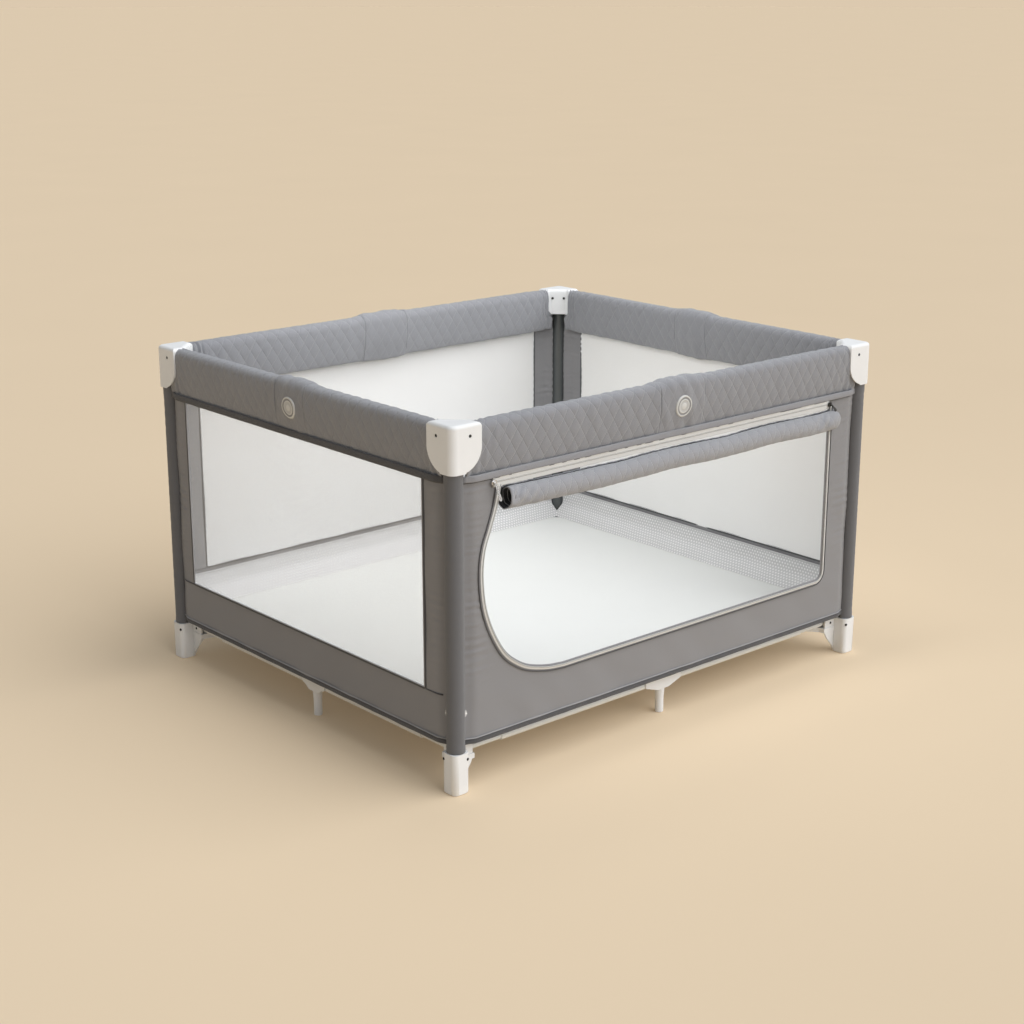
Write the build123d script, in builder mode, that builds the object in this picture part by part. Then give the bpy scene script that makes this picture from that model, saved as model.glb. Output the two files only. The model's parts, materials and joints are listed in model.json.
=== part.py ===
"""Folding baby playpen: four posts, hinged top and base rails, diagonal spokes and soft walls.

Origin on the floor at the middle of the pen, +Z up.  The long sides face -Y (door side, "front")
and +Y ("back"), the short sides face -X ("left") and +X ("right").  Units are millimetres.
"""
import os
from math import atan2, cos, hypot, pi, sin

from build123d import *

os.makedirs("parts", exist_ok=True)

# ---------------------------------------------------------------- driving dimensions
HALF_X = 609.0  # middle of the pen to a post's axis, along the long sides
HALF_Y = 512.0  # the same along the short sides
HEIGHT = 762.0
FIXED_SHARE = 0.1412  # share of every half span that stays when the bars stand upright
GAP = 0.6  # clearance between pieces that turn or lie beside each other
PIN_RADIUS = 3.0
PIN_INSET = 1.0  # pins end this far inside the faces that hold them
TUBE_WALL = 1.2
OVERLAP = 2.0  # how far joined shapes of one piece reach into each other

POST_RADIUS = 16.0
POST_BOTTOM = 30.0
POST_TOP = 742.0

TOP_PIVOT_Z = 736.0
TOP_PIVOT_FROM_POST = 32.0
TOP_RADIUS = 10.0

BASE_PIVOT_Z = 75.0
BASE_PIVOT_FROM_POST = 42.0
BASE_INSET = 26.0  # base rails run this far inside the plane of the posts
BASE_RADIUS = 9.0
NECK_RADIUS = 6.5
EYE_NARROW = 6.5  # half width of the eyes that meet in a foot
NECK_END_FROM_POST = 138.0

SPOKE_PIVOT_FROM_POST = 84.0

CAP_OUT = 22.5  # cap's outer faces, from the post's axis
CAP_IN = 14.0
CAP_REACH = 53.0
CAP_BOTTOM = 665.0
CAP_NECK = -2.0  # where the curved lower edge starts, from the post's axis
CAP_ARM_BOTTOM = 716.0
CAP_CORNER = 16.0
CAP_ROUND = 8.0
CAP_WEB_REACH = 46.0  # inner web between the arms, from the post's axis along each arm
CAP_WEB_NECK = 38.0  # the same at the web's foot
CAP_WEB_BOTTOM = 694.0  # the cap is only an outer skirt below this
CAP_WEB_SHOULDER = 748.0
CAP_SKIRT_INNER = 19.0  # inside of the skirt, from the post's axis
CAP_SKIRT_CORNER = 13.0
SCREW_RADIUS = 3.5
SCREW_DEPTH = 1.5
CAP_SCREW = (24.0, 738.0)  # from the post's axis, height

FOOT_HALF = 20.5
FOOT_ROUND = 11.3
FOOT_CHAMFER = 2.5
FOOT_TOP = 88.0
FOOT_SHELF_BOTTOM = 54.0
FOOT_SHELF_TOP = BASE_PIVOT_Z - BASE_RADIUS - GAP
SHELF_FLARE = 6.0  # the shelf's edge beyond the ears
EAR_REACH = 54.0
EAR_THICK = 4.0
EAR_FOOT_Z = 6.0  # where the slanted lower edge runs out into the foot
EAR_SHOULDER = 62.0
GUSSET_THICK = 4.5  # outer plate, flush with the foot's outer face
INNER_EAR_LENGTH = 12.0
FORK_LENGTH = 17.0
FORK_ROOT = 12.0
FOOT_SCREW = (14.0, 74.0)
FOOT_SCREW_RADIUS = 3.0

LATCH_HALF_DEPTH = 13.0
LATCH_END = 12.0  # past its pivots
LATCH_BOTTOM = TOP_PIVOT_Z - 24.0
LATCH_TOP = TOP_PIVOT_Z + 14.0
BUTTON_RADIUS = 6.5
BUTTON_SHOWING = 6.0
BUTTON_LENGTH = 15.0
BUTTON_TRAVEL = 5.0
BUTTON_SPARE = 2.0  # depth left above a pressed button
EDGE_CHAMFER = 1.5

MID_FOOT_BOTTOM = 62.0
MID_FOOT_TOP = 92.0
MID_FOOT_END = 11.0
MID_FOOT_ROUND = 3.0
MID_LEG_RADIUS = 9.5
MID_LEG_FLARE = 11.5  # its radius where it meets the bracket, clear of the latch that passes outside it
MID_FLARE_START = 36.0
MID_KEEL_BOTTOM = 58.0
MID_KEEL_HALF = 17.0
MID_PIN_WALL = 7.5  # bracket's edge below and beside the pins

HUB_RADIUS = 44.0
HUB_BOTTOM = 60.0
HUB_TOP = 95.6
HUB_ROUND = 3.0
HUB_LEG_RADIUS = 15.0

PAD_BOTTOM = 650.0
PAD_TOP = 761.0
PAD_HALF_DEPTH = 21.0
PAD_ROUND = 18.0

WALL_THICK = 3.0
WALL_BOTTOM = 98.0
WALL_TOP = 648.0
WALL_INNER = POST_RADIUS + GAP  # from the post's axis to the fabric's inner face
WALL_OUTER = WALL_INNER + WALL_THICK
WALL_WRAP = 44.0  # degrees of each post that a wall goes round

DOOR_TOP = 628.0
DOOR_SILL = 207.0
DOOR_RIGHT = 500.0
DOOR_CORNER = 25.0
DOOR_LEFT_EDGE = (  # from the top left corner, down and round to the sill
    (-505, DOOR_TOP),
    (-530, 543),
    (-552, 450),
    (-534, 345),
    (-490, 268),
    (-425, 225),
    (-330, DOOR_SILL),
)
DOOR_EDGE_ENDS = ((-0.15, -1), (1, -0.1))  # the edge's direction at its two ends
ROLL_RADIUS = 22.0
ROLL_ROUND = 6.0
ROLL_Z = 598.0
ROLL_LEFT = -500.0
ROLL_RIGHT = 490.0

SLIDER_X = -522.0
SLIDER_Z = 634.0
SLIDER_WIDTH = 9.0
SLIDER_HEIGHT = 13.0
SLIDER_THICK = 2.3
SLIDER_ROUND = 3.0
PULL_WIDTH = 5.0
PULL_ROUND = 2.0
PULL_LENGTH = 30.0
PULL_THICK = 1.1

MATTRESS_BOTTOM = 96.0
MATTRESS_TOP = 128.0
MATTRESS_HALF_X = 582.0
MATTRESS_HALF_Y = 485.0
MATTRESS_CORNER = 30.0
MATTRESS_EDGE_ROUND = 8.0

# ---------------------------------------------------------------- worked out from them
HALF_DIAGONAL = hypot(HALF_X, HALF_Y)
SPOKE_ANGLE = atan2(HALF_Y, HALF_X)
TOP_PIVOT_FROM_MID = {"long": FIXED_SHARE * HALF_X - TOP_PIVOT_FROM_POST}
TOP_PIVOT_FROM_MID["short"] = FIXED_SHARE * HALF_Y - TOP_PIVOT_FROM_POST
BASE_PIVOT_FROM_MID = {"long": FIXED_SHARE * HALF_X - BASE_PIVOT_FROM_POST}
BASE_PIVOT_FROM_MID["short"] = FIXED_SHARE * HALF_Y - BASE_PIVOT_FROM_POST
HUB_PIVOT_RADIUS = FIXED_SHARE * HALF_DIAGONAL - SPOKE_PIVOT_FROM_POST
BAR_LENGTH = {
    "long": (1 - FIXED_SHARE) * HALF_X,
    "short": (1 - FIXED_SHARE) * HALF_Y,
    "spoke": (1 - FIXED_SHARE) * HALF_DIAGONAL,
}
SPAN = {"long": HALF_X, "short": HALF_Y}
FORK_HALF = BASE_RADIUS + GAP  # half the room between the two plates that hold a base tube
SLOT_HALF = TOP_RADIUS + GAP  # the same for a top tube
CORNERS = {"front_left": (-1, -1), "front_right": (1, -1), "back_left": (-1, 1), "back_right": (1, 1)}
FAR = 200.0  # reaches past any face that a cut has to leave


def write(shape, name):
    """Label one finished piece and write it to its own file."""
    shape.label = name
    export_step(shape, f"parts/{name}.step")


def write_mirrored(shape, name, plane, first, second):
    """Write a piece and its mirror image."""
    write(shape, f"{name}_{first}")
    write(mirror(shape, about=plane), f"{name}_{second}")


def write_corners(shape, name):
    """Write a front left piece and its images at the three other corners."""
    behind = mirror(shape, about=Plane.XZ)
    write_mirrored(shape, name, Plane.YZ, "front_left", "front_right")
    write_mirrored(behind, name, Plane.YZ, "back_left", "back_right")


def write_halves(long_shape, short_shape, name):
    """Write the eight half-side pieces from the front left and the left front one."""
    behind = mirror(long_shape, about=Plane.XZ)
    beside = mirror(short_shape, about=Plane.YZ)
    write_mirrored(long_shape, name, Plane.YZ, "front_left", "front_right")
    write_mirrored(behind, name, Plane.YZ, "back_left", "back_right")
    write_mirrored(short_shape, name, Plane.XZ, "left_front", "left_back")
    write_mirrored(beside, name, Plane.XZ, "right_front", "right_back")


def side_point(side, along, inset, height):
    """Point of the front (long) or left (short) side, along it from the front left post."""
    if side == "long":
        return (along - HALF_X, inset - HALF_Y, height)
    return (inset - HALF_X, along - HALF_Y, height)


def side_direction(side):
    return (1, 0, 0) if side == "long" else (0, 1, 0)


def side_across(side):
    return (0, 1, 0) if side == "long" else (1, 0, 0)


def across_plane(side, along, inset, height):
    """Upright plane along a side: its x runs along the side, its y runs up."""
    normal = (0, -1, 0) if side == "long" else (1, 0, 0)
    return Plane(side_point(side, along, inset, height), x_dir=side_direction(side), z_dir=normal)


def end_plane(side, along, inset, height):
    """Plane square to a side, facing along it: its x runs across the side, its y runs up."""
    return Plane(side_point(side, along, inset, height), x_dir=end_x(side), z_dir=side_direction(side))


def end_x(side):
    return (0, 1, 0) if side == "long" else (-1, 0, 0)


def inward(side, amount):
    """Signed amount that extrudes a sketch on an across plane towards the pen's inside."""
    return -amount if side == "long" else amount


def beside_spoke(distance, sideways):
    """Point of a foot's plan, by the distance along the spoke from the post's axis and beside it."""
    return (
        distance * cos(SPOKE_ANGLE) + sideways * sin(SPOKE_ANGLE),
        distance * sin(SPOKE_ANGLE) - sideways * cos(SPOKE_ANGLE),
    )


# ---------------------------------------------------------------- tubes with hinge eyes
def hinged_bar(start, along, across, length, radius, neck=None):
    """Closed tube between two hinge eyes.  neck is (radius, length) of a thinner first stretch."""
    first_eye = EYE_NARROW if neck else radius
    eyes = Plane(start, x_dir=along, z_dir=across)
    square = Plane(start, z_dir=along)
    plug = radius + TUBE_WALL * 2
    thick_from = neck[1] if neck else 0
    with BuildPart() as bar:
        with BuildSketch(square.offset(thick_from)):
            Circle(radius)
        extrude(amount=length - thick_from)
        if neck:
            with BuildSketch(square):
                Circle(neck[0])
            extrude(amount=thick_from)
        for distance, half_width in ((0, first_eye), (length, radius)):
            with BuildSketch(eyes):
                with Locations((distance, 0)):
                    Circle(radius)
            extrude(amount=half_width, both=True)
        with BuildSketch(square.offset(thick_from + plug)):
            Circle(radius - TUBE_WALL)
        extrude(amount=length - thick_from - 2 * plug, mode=Mode.SUBTRACT)
        with BuildSketch(eyes):
            with Locations((0, 0), (length, 0)):
                Circle(PIN_RADIUS + GAP / 2)
        extrude(amount=FAR, both=True, mode=Mode.SUBTRACT)
    return bar.part


def top_rail(side):
    start = side_point(side, TOP_PIVOT_FROM_POST, 0, TOP_PIVOT_Z)
    return hinged_bar(start, side_direction(side), side_across(side), BAR_LENGTH[side], TOP_RADIUS)


def base_rail(side):
    start = side_point(side, BASE_PIVOT_FROM_POST, BASE_INSET, BASE_PIVOT_Z)
    neck = (NECK_RADIUS, NECK_END_FROM_POST - BASE_PIVOT_FROM_POST)
    return hinged_bar(start, side_direction(side), side_across(side), BAR_LENGTH[side], BASE_RADIUS, neck)


write_halves(top_rail("long"), top_rail("short"), "top_rail")
write_halves(base_rail("long"), base_rail("short"), "base_rail")

for corner, (x_sign, y_sign) in CORNERS.items():
    along = (-x_sign * cos(SPOKE_ANGLE), -y_sign * sin(SPOKE_ANGLE), 0)
    across = (-along[1], along[0], 0)
    start = (
        x_sign * HALF_X + SPOKE_PIVOT_FROM_POST * along[0],
        y_sign * HALF_Y + SPOKE_PIVOT_FROM_POST * along[1],
        BASE_PIVOT_Z,
    )
    write(hinged_bar(start, along, across, BAR_LENGTH["spoke"], BASE_RADIUS), f"spoke_{corner}")

# ---------------------------------------------------------------- corner posts
with BuildPart() as post:
    with BuildSketch(Plane((-HALF_X, -HALF_Y, POST_BOTTOM))):
        Circle(POST_RADIUS)
        Circle(POST_RADIUS - TUBE_WALL, mode=Mode.SUBTRACT)
    extrude(amount=POST_TOP - POST_BOTTOM)
write_corners(post.part, "post")

# ---------------------------------------------------------------- corner caps
with BuildPart() as corner_cap:
    for side in ("long", "short"):
        with BuildSketch(across_plane(side, 0, -CAP_OUT, 0)):
            with BuildLine():
                Line((-CAP_OUT, CAP_BOTTOM), (CAP_NECK, CAP_BOTTOM))
                EllipticalCenterArc(
                    (CAP_NECK, CAP_ARM_BOTTOM),
                    CAP_REACH - CAP_NECK,
                    CAP_ARM_BOTTOM - CAP_BOTTOM,
                    start_angle=270,
                    arc_size=90,
                )
                Line((CAP_REACH, CAP_ARM_BOTTOM), (CAP_REACH, HEIGHT))
                Line((CAP_REACH, HEIGHT), (-CAP_OUT, HEIGHT))
                Line((-CAP_OUT, HEIGHT), (-CAP_OUT, CAP_BOTTOM))
            make_face()
        extrude(amount=inward(side, CAP_OUT + CAP_IN))
    # web between the arms, widening upwards from the collar
    for level, reach in ((CAP_WEB_BOTTOM, CAP_WEB_NECK), (CAP_WEB_SHOULDER, CAP_WEB_REACH)):
        with BuildSketch(Plane((-HALF_X, -HALF_Y, level))):
            root = CAP_IN - OVERLAP
            Polygon((root, root), (reach, root), (root, reach), align=None)
    loft()
    with BuildSketch(Plane((-HALF_X, -HALF_Y, CAP_WEB_SHOULDER))):
        Polygon((root, root), (CAP_WEB_REACH, root), (root, CAP_WEB_REACH), align=None)
    extrude(amount=HEIGHT - CAP_WEB_SHOULDER)
    left_edges = corner_cap.edges().filter_by(Axis.Z).group_by(Axis.X)[0]
    fillet(left_edges.sort_by(Axis.Y)[0], radius=CAP_CORNER)
    fillet(corner_cap.faces().sort_by(Axis.Z)[-1].edges(), radius=CAP_ROUND)
    with BuildSketch(Plane((-HALF_X, -HALF_Y, CAP_BOTTOM))):
        with Locations((-CAP_SKIRT_INNER, -CAP_SKIRT_INNER)):
            RectangleRounded(FAR, FAR, CAP_SKIRT_CORNER, align=(Align.MIN, Align.MIN))
    extrude(amount=CAP_WEB_BOTTOM - CAP_BOTTOM, mode=Mode.SUBTRACT)
    for side in ("long", "short"):
        slot_start = TOP_PIVOT_FROM_POST - SLOT_HALF
        with BuildSketch(end_plane(side, slot_start, 0, TOP_PIVOT_Z + SLOT_HALF)):
            Rectangle(2 * SLOT_HALF, FAR, align=(Align.CENTER, Align.MAX))
        extrude(amount=FAR, mode=Mode.SUBTRACT)
    with BuildSketch(Plane((-HALF_X, -HALF_Y, CAP_BOTTOM))):
        Circle(POST_RADIUS + GAP / 2)
    extrude(amount=POST_TOP - CAP_BOTTOM + GAP, mode=Mode.SUBTRACT)
    for side in ("long", "short"):
        with BuildSketch(across_plane(side, TOP_PIVOT_FROM_POST, 0, TOP_PIVOT_Z)):
            Circle(PIN_RADIUS)
        extrude(amount=CAP_IN - PIN_INSET, both=True)
        with BuildSketch(across_plane(side, CAP_SCREW[0], -CAP_OUT, CAP_SCREW[1])):
            Circle(SCREW_RADIUS)
        extrude(amount=SCREW_DEPTH, both=True, mode=Mode.SUBTRACT)
write_corners(corner_cap.part, "corner_cap")

# ---------------------------------------------------------------- corner feet
ear_outer = (BASE_INSET - BASE_RADIUS - GAP - EAR_THICK, BASE_INSET - BASE_RADIUS - GAP)
gusset = (-FOOT_HALF, GUSSET_THICK - FOOT_HALF)
ear_inner = (BASE_INSET + BASE_RADIUS + GAP, BASE_INSET + BASE_RADIUS + GAP + EAR_THICK)
spoke_frame = Plane(
    (-HALF_X, -HALF_Y, 0), x_dir=(cos(SPOKE_ANGLE), sin(SPOKE_ANGLE), 0), z_dir=(0, 0, 1)
)
fork_end = SPOKE_PIVOT_FROM_POST + FORK_LENGTH / 2
fork_outer = FORK_HALF + EAR_THICK
with BuildPart() as foot:
    with BuildSketch(Plane((-HALF_X, -HALF_Y, 0))):
        RectangleRounded(2 * FOOT_HALF, 2 * FOOT_HALF, FOOT_ROUND)
    extrude(amount=FOOT_TOP)
    # shelf under the rails' and the spoke's ends
    with BuildSketch(Plane((-HALF_X, -HALF_Y, FOOT_SHELF_BOTTOM))):
        Polygon(
            (gusset[1], gusset[1]),
            (EAR_REACH, gusset[1]),
            (EAR_REACH + SHELF_FLARE, BASE_INSET),
            beside_spoke(fork_end, fork_outer),
            beside_spoke(fork_end, -fork_outer),
            (BASE_INSET, EAR_REACH + SHELF_FLARE),
            (gusset[1], EAR_REACH),
            align=None,
        )
    extrude(amount=FOOT_SHELF_TOP - FOOT_SHELF_BOTTOM)
    for side in ("long", "short"):
        # outer ear and the gusset flush with the foot's face, running down into the foot
        for near, far in (ear_outer, gusset):
            with BuildSketch(across_plane(side, 0, near, 0)):
                with BuildLine():
                    Line((0, FOOT_TOP), (EAR_REACH, FOOT_TOP))
                    Line((EAR_REACH, FOOT_TOP), (EAR_REACH, EAR_SHOULDER))
                    Spline(
                        (EAR_REACH, EAR_SHOULDER),
                        (FOOT_HALF - OVERLAP / 2, EAR_FOOT_Z),
                        tangents=((-0.1, -1), (-0.4, -1)),
                    )
                    Line((FOOT_HALF - OVERLAP / 2, EAR_FOOT_Z), (0, EAR_FOOT_Z))
                    Line((0, EAR_FOOT_Z), (0, FOOT_TOP))
                make_face()
            extrude(amount=inward(side, far - near))
        # inner ear
        with BuildSketch(across_plane(side, ear_inner[0], ear_inner[0], FOOT_SHELF_BOTTOM)):
            Rectangle(INNER_EAR_LENGTH, FOOT_TOP - FOOT_SHELF_BOTTOM, align=(Align.MIN, Align.MIN))
        extrude(amount=inward(side, EAR_THICK))
        # hinge pin through both ears
        with BuildSketch(across_plane(side, BASE_PIVOT_FROM_POST, ear_outer[1] - OVERLAP, BASE_PIVOT_Z)):
            Circle(PIN_RADIUS)
        extrude(amount=inward(side, ear_inner[1] - ear_outer[1]))
        with BuildSketch(across_plane(side, FOOT_SCREW[0], -FOOT_HALF, FOOT_SCREW[1])):
            Circle(FOOT_SCREW_RADIUS)
        extrude(amount=SCREW_DEPTH, both=True, mode=Mode.SUBTRACT)
    # fork of the diagonal spoke
    with BuildSketch(spoke_frame.offset(FOOT_SHELF_BOTTOM)):
        with Locations((SPOKE_PIVOT_FROM_POST, FORK_HALF), (SPOKE_PIVOT_FROM_POST, -fork_outer)):
            Rectangle(FORK_LENGTH, EAR_THICK, align=(Align.CENTER, Align.MIN))
        with Locations((SPOKE_PIVOT_FROM_POST - FORK_HALF, 0)):
            Rectangle(FORK_ROOT, 2 * FORK_HALF, align=(Align.MAX, Align.CENTER))
    extrude(amount=FOOT_TOP - FOOT_SHELF_BOTTOM)
    pin_plane = Plane(
        spoke_frame.from_local_coords((SPOKE_PIVOT_FROM_POST, 0, BASE_PIVOT_Z)),
        x_dir=(cos(SPOKE_ANGLE), sin(SPOKE_ANGLE), 0),
        z_dir=(-sin(SPOKE_ANGLE), cos(SPOKE_ANGLE), 0),
    )
    with BuildSketch(pin_plane):
        Circle(PIN_RADIUS)
    extrude(amount=fork_outer - PIN_INSET, both=True)
    # room for the rails' ends and for the post
    for side in ("long", "short"):
        room_start = BASE_PIVOT_FROM_POST - FORK_HALF
        with BuildSketch(end_plane(side, room_start, BASE_INSET, FOOT_SHELF_TOP)):
            Rectangle(2 * FORK_HALF, FAR, align=(Align.CENTER, Align.MIN))
        extrude(amount=BASE_RADIUS - PIN_RADIUS, mode=Mode.SUBTRACT)
    with BuildSketch(Plane((-HALF_X, -HALF_Y, POST_BOTTOM - GAP))):
        Circle(POST_RADIUS + GAP / 2)
    extrude(amount=FOOT_TOP, mode=Mode.SUBTRACT)
    rim = foot.faces().sort_by(Axis.Z)[0].edges()
    chamfer(rim, length=FOOT_CHAMFER)
write_corners(foot.part, "foot")


# ---------------------------------------------------------------- mid-side latches and buttons
def latch(side):
    """Housing at the middle of a top rail: the two half rails swing up out of it."""
    pivot = TOP_PIVOT_FROM_MID[side]
    core = pivot - SLOT_HALF
    end = pivot + LATCH_END
    middle = SPAN[side]
    with BuildPart() as housing:
        with BuildSketch(across_plane(side, middle, 0, 0)):
            with Locations((0, LATCH_BOTTOM)):
                Rectangle(2 * core, LATCH_TOP - LATCH_BOTTOM, align=(Align.CENTER, Align.MIN))
                web = TOP_PIVOT_Z - SLOT_HALF - LATCH_BOTTOM
                Rectangle(2 * end, web, align=(Align.CENTER, Align.MIN))
        extrude(amount=LATCH_HALF_DEPTH, both=True)
        with BuildSketch(across_plane(side, middle, 0, 0)):
            with Locations((0, LATCH_BOTTOM)):
                Rectangle(2 * end, LATCH_TOP - LATCH_BOTTOM, align=(Align.CENTER, Align.MIN))
        plates = extrude(amount=LATCH_HALF_DEPTH, both=True, mode=Mode.PRIVATE)
        with BuildSketch(across_plane(side, middle, 0, 0)):
            with Locations((0, LATCH_BOTTOM - OVERLAP)):
                Rectangle(2 * end + OVERLAP, FAR, align=(Align.CENTER, Align.MIN))
        inside = extrude(amount=SLOT_HALF, both=True, mode=Mode.PRIVATE)
        add(plates - inside)
        with BuildSketch(across_plane(side, middle, 0, TOP_PIVOT_Z)):
            with Locations((-pivot, 0), (pivot, 0)):
                Circle(PIN_RADIUS)
        extrude(amount=LATCH_HALF_DEPTH - PIN_INSET, both=True)
        with BuildSketch(Plane(side_point(side, middle, 0, LATCH_BOTTOM))):
            Circle(BUTTON_RADIUS + GAP)
        room = BUTTON_LENGTH - BUTTON_SHOWING + BUTTON_TRAVEL + BUTTON_SPARE
        extrude(amount=room, mode=Mode.SUBTRACT)
    return housing.part


def button(side):
    with BuildPart() as press:
        with BuildSketch(Plane(side_point(side, SPAN[side], 0, LATCH_BOTTOM - BUTTON_SHOWING))):
            Circle(BUTTON_RADIUS)
        extrude(amount=BUTTON_LENGTH)
        chamfer(press.faces().sort_by(Axis.Z)[0].edges(), length=EDGE_CHAMFER)
    return press.part


# ---------------------------------------------------------------- mid-side feet of the base
def mid_foot(side):
    """Bracket and leg at the middle of a base rail: the two half rails swing down out of it."""
    pivot = BASE_PIVOT_FROM_MID[side]
    core = pivot - FORK_HALF
    end = pivot + MID_FOOT_END
    middle = SPAN[side]
    height = MID_FOOT_TOP - MID_FOOT_BOTTOM
    web_bottom = BASE_PIVOT_Z + FORK_HALF
    with BuildPart() as bracket:
        with BuildSketch(across_plane(side, middle, BASE_INSET, 0)):
            with Locations((0, MID_FOOT_TOP)):
                Rectangle(2 * core, height, align=(Align.CENTER, Align.MAX))
                Rectangle(2 * end, MID_FOOT_TOP - web_bottom, align=(Align.CENTER, Align.MAX))
        extrude(amount=FORK_HALF, both=True)
        for edge in (-1, 1):
            inset = BASE_INSET + edge * (FORK_HALF + EAR_THICK / 4)
            with BuildSketch(across_plane(side, middle, inset, 0)) as plate:
                Polygon(
                    (-end, MID_FOOT_TOP),
                    (-end, BASE_PIVOT_Z - MID_PIN_WALL / 2),
                    (-pivot, BASE_PIVOT_Z - MID_PIN_WALL),
                    (-MID_KEEL_HALF, MID_KEEL_BOTTOM),
                    (MID_KEEL_HALF, MID_KEEL_BOTTOM),
                    (pivot, BASE_PIVOT_Z - MID_PIN_WALL),
                    (end, BASE_PIVOT_Z - MID_PIN_WALL / 2),
                    (end, MID_FOOT_TOP),
                    align=None,
                )
                fillet(plate.vertices(), radius=MID_FOOT_ROUND)
            extrude(amount=EAR_THICK / 4, both=True)
        with BuildSketch(across_plane(side, middle, BASE_INSET, BASE_PIVOT_Z)):
            with Locations((-pivot, 0), (pivot, 0)):
                Circle(PIN_RADIUS)
        extrude(amount=FORK_HALF + EAR_THICK / 4, both=True)
        with BuildSketch(Plane(side_point(side, middle, BASE_INSET, 0))):
            Circle(MID_LEG_RADIUS)
        extrude(amount=MID_FOOT_BOTTOM + OVERLAP)
        for level, radius in ((MID_FLARE_START, MID_LEG_RADIUS), (MID_FOOT_BOTTOM + OVERLAP, MID_LEG_FLARE)):
            with BuildSketch(Plane(side_point(side, middle, BASE_INSET, level))):
                Circle(radius)
        loft()
        chamfer(bracket.faces().sort_by(Axis.Z)[0].edges(), length=EDGE_CHAMFER)
    return bracket.part


for piece, maker in (("latch", latch), ("latch_button", button), ("mid_foot", mid_foot)):
    write_mirrored(maker("long"), piece, Plane.XZ, "front", "back")
    write_mirrored(maker("short"), piece, Plane.YZ, "left", "right")

# ---------------------------------------------------------------- hub of the spokes
spoke_angles = (SPOKE_ANGLE, pi - SPOKE_ANGLE, pi + SPOKE_ANGLE, -SPOKE_ANGLE)
with BuildPart() as hub:
    with BuildSketch(Plane.XY.offset(HUB_BOTTOM)):
        Circle(HUB_RADIUS)
    extrude(amount=HUB_TOP - HUB_BOTTOM)
    fillet(hub.faces().sort_by(Axis.Z)[-1].edges(), radius=HUB_ROUND)
    slot_start = HUB_PIVOT_RADIUS - FORK_HALF
    slot_top = BASE_PIVOT_Z + FORK_HALF
    for angle in spoke_angles:
        slot_origin = (cos(angle) * slot_start, sin(angle) * slot_start, slot_top)
        slot_plane = Plane(
            slot_origin, x_dir=(-sin(angle), cos(angle), 0), z_dir=(cos(angle), sin(angle), 0)
        )
        with BuildSketch(slot_plane):
            Rectangle(2 * FORK_HALF, FAR, align=(Align.CENTER, Align.MAX))
        extrude(amount=FAR, mode=Mode.SUBTRACT)
    with BuildSketch(Plane.XY):
        Circle(HUB_LEG_RADIUS)
    extrude(amount=HUB_BOTTOM + OVERLAP)
    for angle in spoke_angles:
        pin_origin = (cos(angle) * HUB_PIVOT_RADIUS, sin(angle) * HUB_PIVOT_RADIUS, BASE_PIVOT_Z)
        pin_plane = Plane(
            pin_origin, x_dir=(cos(angle), sin(angle), 0), z_dir=(-sin(angle), cos(angle), 0)
        )
        with BuildSketch(pin_plane):
            Circle(PIN_RADIUS)
        extrude(amount=FORK_HALF + OVERLAP, both=True)
write(hub.part, "hub")


# ---------------------------------------------------------------- padding round the top rails
def rail_pad(side):
    first = CAP_REACH + GAP
    last = SPAN[side] - TOP_PIVOT_FROM_MID[side] - LATCH_END - GAP
    with BuildPart() as pad:
        with BuildSketch(end_plane(side, first, 0, (PAD_BOTTOM + PAD_TOP) / 2)):
            RectangleRounded(2 * PAD_HALF_DEPTH, PAD_TOP - PAD_BOTTOM, PAD_ROUND)
        extrude(amount=last - first)
        with BuildSketch(end_plane(side, first, 0, TOP_PIVOT_Z)):
            Circle(TOP_RADIUS + GAP)
        extrude(amount=last - first, mode=Mode.SUBTRACT)
    return pad.part


write_halves(rail_pad("long"), rail_pad("short"), "rail_pad")


# ---------------------------------------------------------------- fabric walls
def wall(side):
    """Upright sheet outside the posts, wrapped a part of the way round each of them."""
    half = SPAN[side]
    middle = (WALL_INNER + WALL_OUTER) / 2
    x_dir = (-1, 0, 0) if side == "long" else (0, 1, 0)  # so that the plane's y points outwards
    with BuildPart() as sheet:
        with BuildSketch(Plane(side_point(side, half, 0, WALL_BOTTOM), x_dir=x_dir, z_dir=(0, 0, 1))):
            with BuildLine():
                Line((-half, middle), (half, middle))
                CenterArc((half, 0), middle, 90, -WALL_WRAP)
                CenterArc((-half, 0), middle, 90, WALL_WRAP)
            trace(line_width=WALL_THICK)
        extrude(amount=WALL_TOP - WALL_BOTTOM)
    return sheet.part


left_wall = wall("short")
write_mirrored(left_wall, "wall", Plane.YZ, "left", "right")
long_wall = wall("long")
write(mirror(long_wall, about=Plane.XZ), "wall_back")
with BuildPart() as wall_front:
    add(long_wall)
    with BuildSketch(Plane((0, -HALF_Y, 0), x_dir=(1, 0, 0), z_dir=(0, -1, 0))):
        with BuildLine():
            Spline(*DOOR_LEFT_EDGE, tangents=DOOR_EDGE_ENDS)
            Line(DOOR_LEFT_EDGE[-1], (DOOR_RIGHT - DOOR_CORNER, DOOR_SILL))
            RadiusArc(
                (DOOR_RIGHT - DOOR_CORNER, DOOR_SILL),
                (DOOR_RIGHT, DOOR_SILL + DOOR_CORNER),
                -DOOR_CORNER,
            )
            Line((DOOR_RIGHT, DOOR_SILL + DOOR_CORNER), (DOOR_RIGHT, DOOR_TOP))
            Line((DOOR_RIGHT, DOOR_TOP), DOOR_LEFT_EDGE[0])
        make_face()
    extrude(amount=2 * WALL_OUTER, both=True, mode=Mode.SUBTRACT)
write(wall_front.part, "wall_front")

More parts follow.
